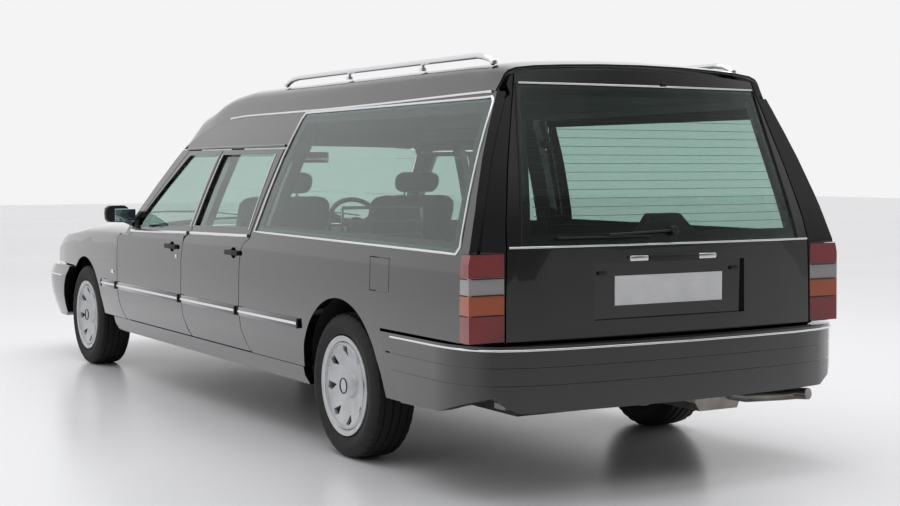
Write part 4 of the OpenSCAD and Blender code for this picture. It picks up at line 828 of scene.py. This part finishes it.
# ---------- mirror glass ----------
# A silvered pane facing the rear in each housing, with a ground edge.
for side, tag in ((1, "left"), (-1, "right")):
    low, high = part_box(f"{tag}_mirror")
    x0, x1 = sorted((side * 0.902, side * 1.018))
    block(f"{tag}_mirror_glass", (x0, high[1] - 0.004, 0.908), (x1, high[1] + 0.0015, 0.976), 0.003,
          mirror_glass, f"front_{tag}_door")

# ---------- tyres ----------
# Each is one section carried round the axle: four grooves in the tread, a rounded shoulder and
# two raised rings on each wall. Cross grooves are cut into the shoulder blocks.
TYRE = [(0.075, 0.207), (0.088, 0.215), (0.0935, 0.232), (0.0975, 0.250), (0.0965, 0.2515),
        (0.0965, 0.2565), (0.0975, 0.258), (0.0935, 0.276), (0.086, 0.290), (0.078, 0.2975),
        (0.062, 0.3005), (0.058, 0.3010), (0.056, 0.2945), (0.051, 0.2945), (0.049, 0.3015),
        (0.022, 0.3024), (0.020, 0.2955), (0.014, 0.2955), (0.012, 0.3025)]
profile = TYRE + [(-x, r) for x, r in reversed(TYRE)]
SLICES = 144
for tag, _ in CORNERS:
    low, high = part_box(f"{tag}_tyre")
    middle = (low + high) / 2
    verts, faces = [], []
    for k in range(SLICES):
        angle = 2 * math.pi * k / SLICES
        for n, (x, r) in enumerate(profile):
            # every fourth slice of the shoulder is a cut across it
            cut = 0.0045 if k % 4 == 0 and n in (8, 9, 10, 11, 26, 27, 28, 29) else 0.0
            verts.append((middle.x + x, middle.y + (r - cut) * math.cos(angle),
                          middle.z + (r - cut) * math.sin(angle)))
    rows = len(profile)
    for k in range(SLICES):
        for n in range(rows):
            a, b = k * rows + n, k * rows + (n + 1) % rows
            c, d = ((k + 1) % SLICES) * rows + (n + 1) % rows, ((k + 1) % SLICES) * rows + n
            faces.append((a, b, c, d))
    mesh = bpy.data.meshes.new(f"{tag}_tyre_treaded")
    mesh.from_pydata(verts, [], faces)
    piece = bpy.data.objects.new(f"{tag}_tyre_treaded", mesh)
    bpy.context.scene.collection.objects.link(piece)
    activate(piece)
    bpy.ops.object.mode_set(mode="EDIT")
    bpy.ops.mesh.select_all(action="SELECT")
    bpy.ops.mesh.normals_make_consistent(inside=False)
    bpy.ops.object.mode_set(mode="OBJECT")
    bpy.ops.object.shade_smooth_by_angle(angle=math.radians(28))
    mesh.materials.append(worn_rubber)
    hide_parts(f"{tag}_tyre")
    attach(piece, f"{tag}_wheel")

# ---------- wheel covers ----------
# The moulded cover keeps the CAD wheel's shape and its eight openings; a rolled ring at the rim,
# a step ring and a dark ring round the centre cap are added.
for tag, side in CORNERS:
    finished_copy(f"{tag}_wheel", f"{tag}_wheel", [silver_cover], edge=0.0015)
    low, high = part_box(f"{tag}_wheel")
    middle = (low + high) / 2
    face_x = (high.x if side > 0 else low.x)
    for name, radius, thick, out, mat in (("rim_ring", 0.2035, 0.0042, -0.004, silver_cover),
                                          ("step_ring", 0.176, 0.0022, -0.001, silver_cover),
                                          ("cap_ring", 0.031, 0.0030, 0.000, satin_plastic)):
        deselect()
        bpy.ops.mesh.primitive_torus_add(
            major_radius=radius, minor_radius=thick, major_segments=96, minor_segments=12,
            location=(face_x + side * out, middle.y, middle.z), rotation=(0, math.pi / 2, 0))
        piece = bpy.context.object
        piece.name = f"{tag}_{name}"
        bpy.ops.object.transform_apply(location=True, rotation=True, scale=True)
        bpy.ops.object.shade_smooth()
        piece.data.materials.append(mat)
        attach(piece, f"{tag}_wheel")

# ---------- front seats ----------
# Foam cushions in ribbed cloth: crowned panels with rounded sides, upright flutes and sunk
# seam lines, a headrest on two plated posts, and a plastic base on each runner.


def cushion(name, outline, middle, half, flutes=0):
    """A stuffed panel: one side section carried across, drawn in and rounded near its ends."""
    line = divided([(y - 0.230, z) for y, z in outline], 0.022)
    centre = Vector((sum(p[0] for p in line) / len(line), sum(p[1] for p in line) / len(line)))
    stations = [-1.0, -0.985, -0.95, -0.90, -0.86, -0.84, -0.82, -0.76] + \
               [k / 20 for k in range(-14, 15)] + [0.76, 0.82, 0.84, 0.86, 0.90, 0.95, 0.985, 1.0]
    verts, faces = [], []
    for u in stations:
        draw_in = 0.030 * abs(u) ** 10 + (0.005 if 0.83 < abs(u) < 0.85 else 0.0)
        if flutes and abs(u) < 0.8:
            draw_in += 0.004 * (1 - abs(math.cos(u * math.pi * flutes / 2)))
        for y, z in line:
            spot = Vector((y, z))
            inward = centre - spot
            spot = spot + inward.normalized() * min(draw_in, inward.length * 0.5)
            verts.append((middle + u * half, spot.x, spot.y))
    count = len(line)
    for k in range(len(stations) - 1):
        for n in range(count):
            a, b = k * count + n, k * count + (n + 1) % count
            faces.append((a, b, b + count, a + count))
    faces.append(tuple(range(count)))
    faces.append(tuple(reversed(range((len(stations) - 1) * count, len(stations) * count))))
    mesh = bpy.data.meshes.new(name)
    mesh.from_pydata(verts, [], faces)
    piece = bpy.data.objects.new(name, mesh)
    bpy.context.scene.collection.objects.link(piece)
    activate(piece)
    bpy.ops.object.mode_set(mode="EDIT")
    bpy.ops.mesh.select_all(action="SELECT")
    bpy.ops.mesh.normals_make_consistent(inside=False)
    bpy.ops.mesh.vertices_smooth(factor=0.5, repeat=3)
    bpy.ops.object.mode_set(mode="OBJECT")
    bpy.ops.object.shade_smooth_by_angle(angle=math.radians(60))
    mesh.materials.append(seat_cloth)
    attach(piece, "body")
    return piece


CUSHION = [(-0.440, 0.402), (-0.466, 0.430), (-0.470, 0.470), (-0.455, 0.500), (-0.430, 0.512),
           (-0.300, 0.512), (-0.120, 0.505), (0.040, 0.480), (0.056, 0.440), (0.060, 0.402)]
BACK = [(-0.020, 0.483), (0.040, 0.483), (0.150, 0.730), (0.250, 0.960), (0.275, 1.040),
        (0.240, 1.060), (0.192, 1.048), (0.120, 0.880), (0.060, 0.720), (-0.050, 0.560)]
REST = [(0.236, 1.066), (0.262, 1.058), (0.290, 1.100), (0.308, 1.150), (0.296, 1.180),
        (0.270, 1.181), (0.242, 1.174), (0.226, 1.140), (0.224, 1.100)]
for side, tag in ((1, "left"), (-1, "right")):
    middle = side * 0.381
    piece = cushion(f"{tag}_seat_cushion", CUSHION, middle, 0.258, 6)
    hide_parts("front_seats")
    cushion(f"{tag}_seat_back", BACK, middle, 0.243, 6)
    cushion(f"{tag}_headrest", REST, middle, 0.128)
    for k, post in enumerate((-0.060, 0.060)):
        strip(f"{tag}_headrest_post_{k}", [(middle + post, -0.010, 1.035),
                                           (middle + post, 0.016, 1.085)], 0.006, "body",
              bright_trim)
    for k, foot in enumerate((-0.200, 0.170)):
        block(f"{tag}_seat_runner_{k}", (middle + foot, -0.650, 0.2795),
              (middle + foot + 0.030, -0.190, 0.402), 0.005, satin_plastic, "body")

# ---------- front of the car ----------
# Two wipers parked on the windscreen, and a blank plate on the bumper.
for side, tag, start, tip in ((1, "left", 0.06, 0.60), (-1, "right", 0.62, 0.08)):
    base = Vector((-start if side < 0 else start, -1.116, 0.908))
    end = Vector((-tip if side < 0 else tip, -1.062, 0.952))
    strip(f"{tag}_wiper_arm", [base, (base + end) / 2 + Vector((0, -0.012, 0.012)), end], 0.004,
          "body", satin_plastic)
    strip(f"{tag}_wiper_blade", [end + Vector((-0.22, 0.006, -0.002)),
                                 end + Vector((0.0, 0.0, 0.002)),
                                 end + Vector((0.16, 0.010, -0.002))], 0.0045, "body",
          black_rubber)
block("front_plate", (-0.260, -2.7945, 0.372), (0.260, -2.7885, 0.483), 0.0015, plate_face, "body")

# ---------- interior mirror ----------
# A black shell on a short stem under the headlining, with its glass to the rear.
block("interior_mirror_shell", (-0.125, -0.545, 1.228), (0.125, -0.520, 1.288), 0.010,
      satin_plastic, "body")
block("interior_mirror_glass", (-0.117, -0.5215, 1.235), (0.117, -0.5185, 1.281), 0.001,
      mirror_glass, "body")
strip("interior_mirror_stem", [(0.0, -0.530, 1.280), (0.0, -0.520, 1.302), (0.0, -0.500, 1.312)],
      0.006, "body", satin_plastic)
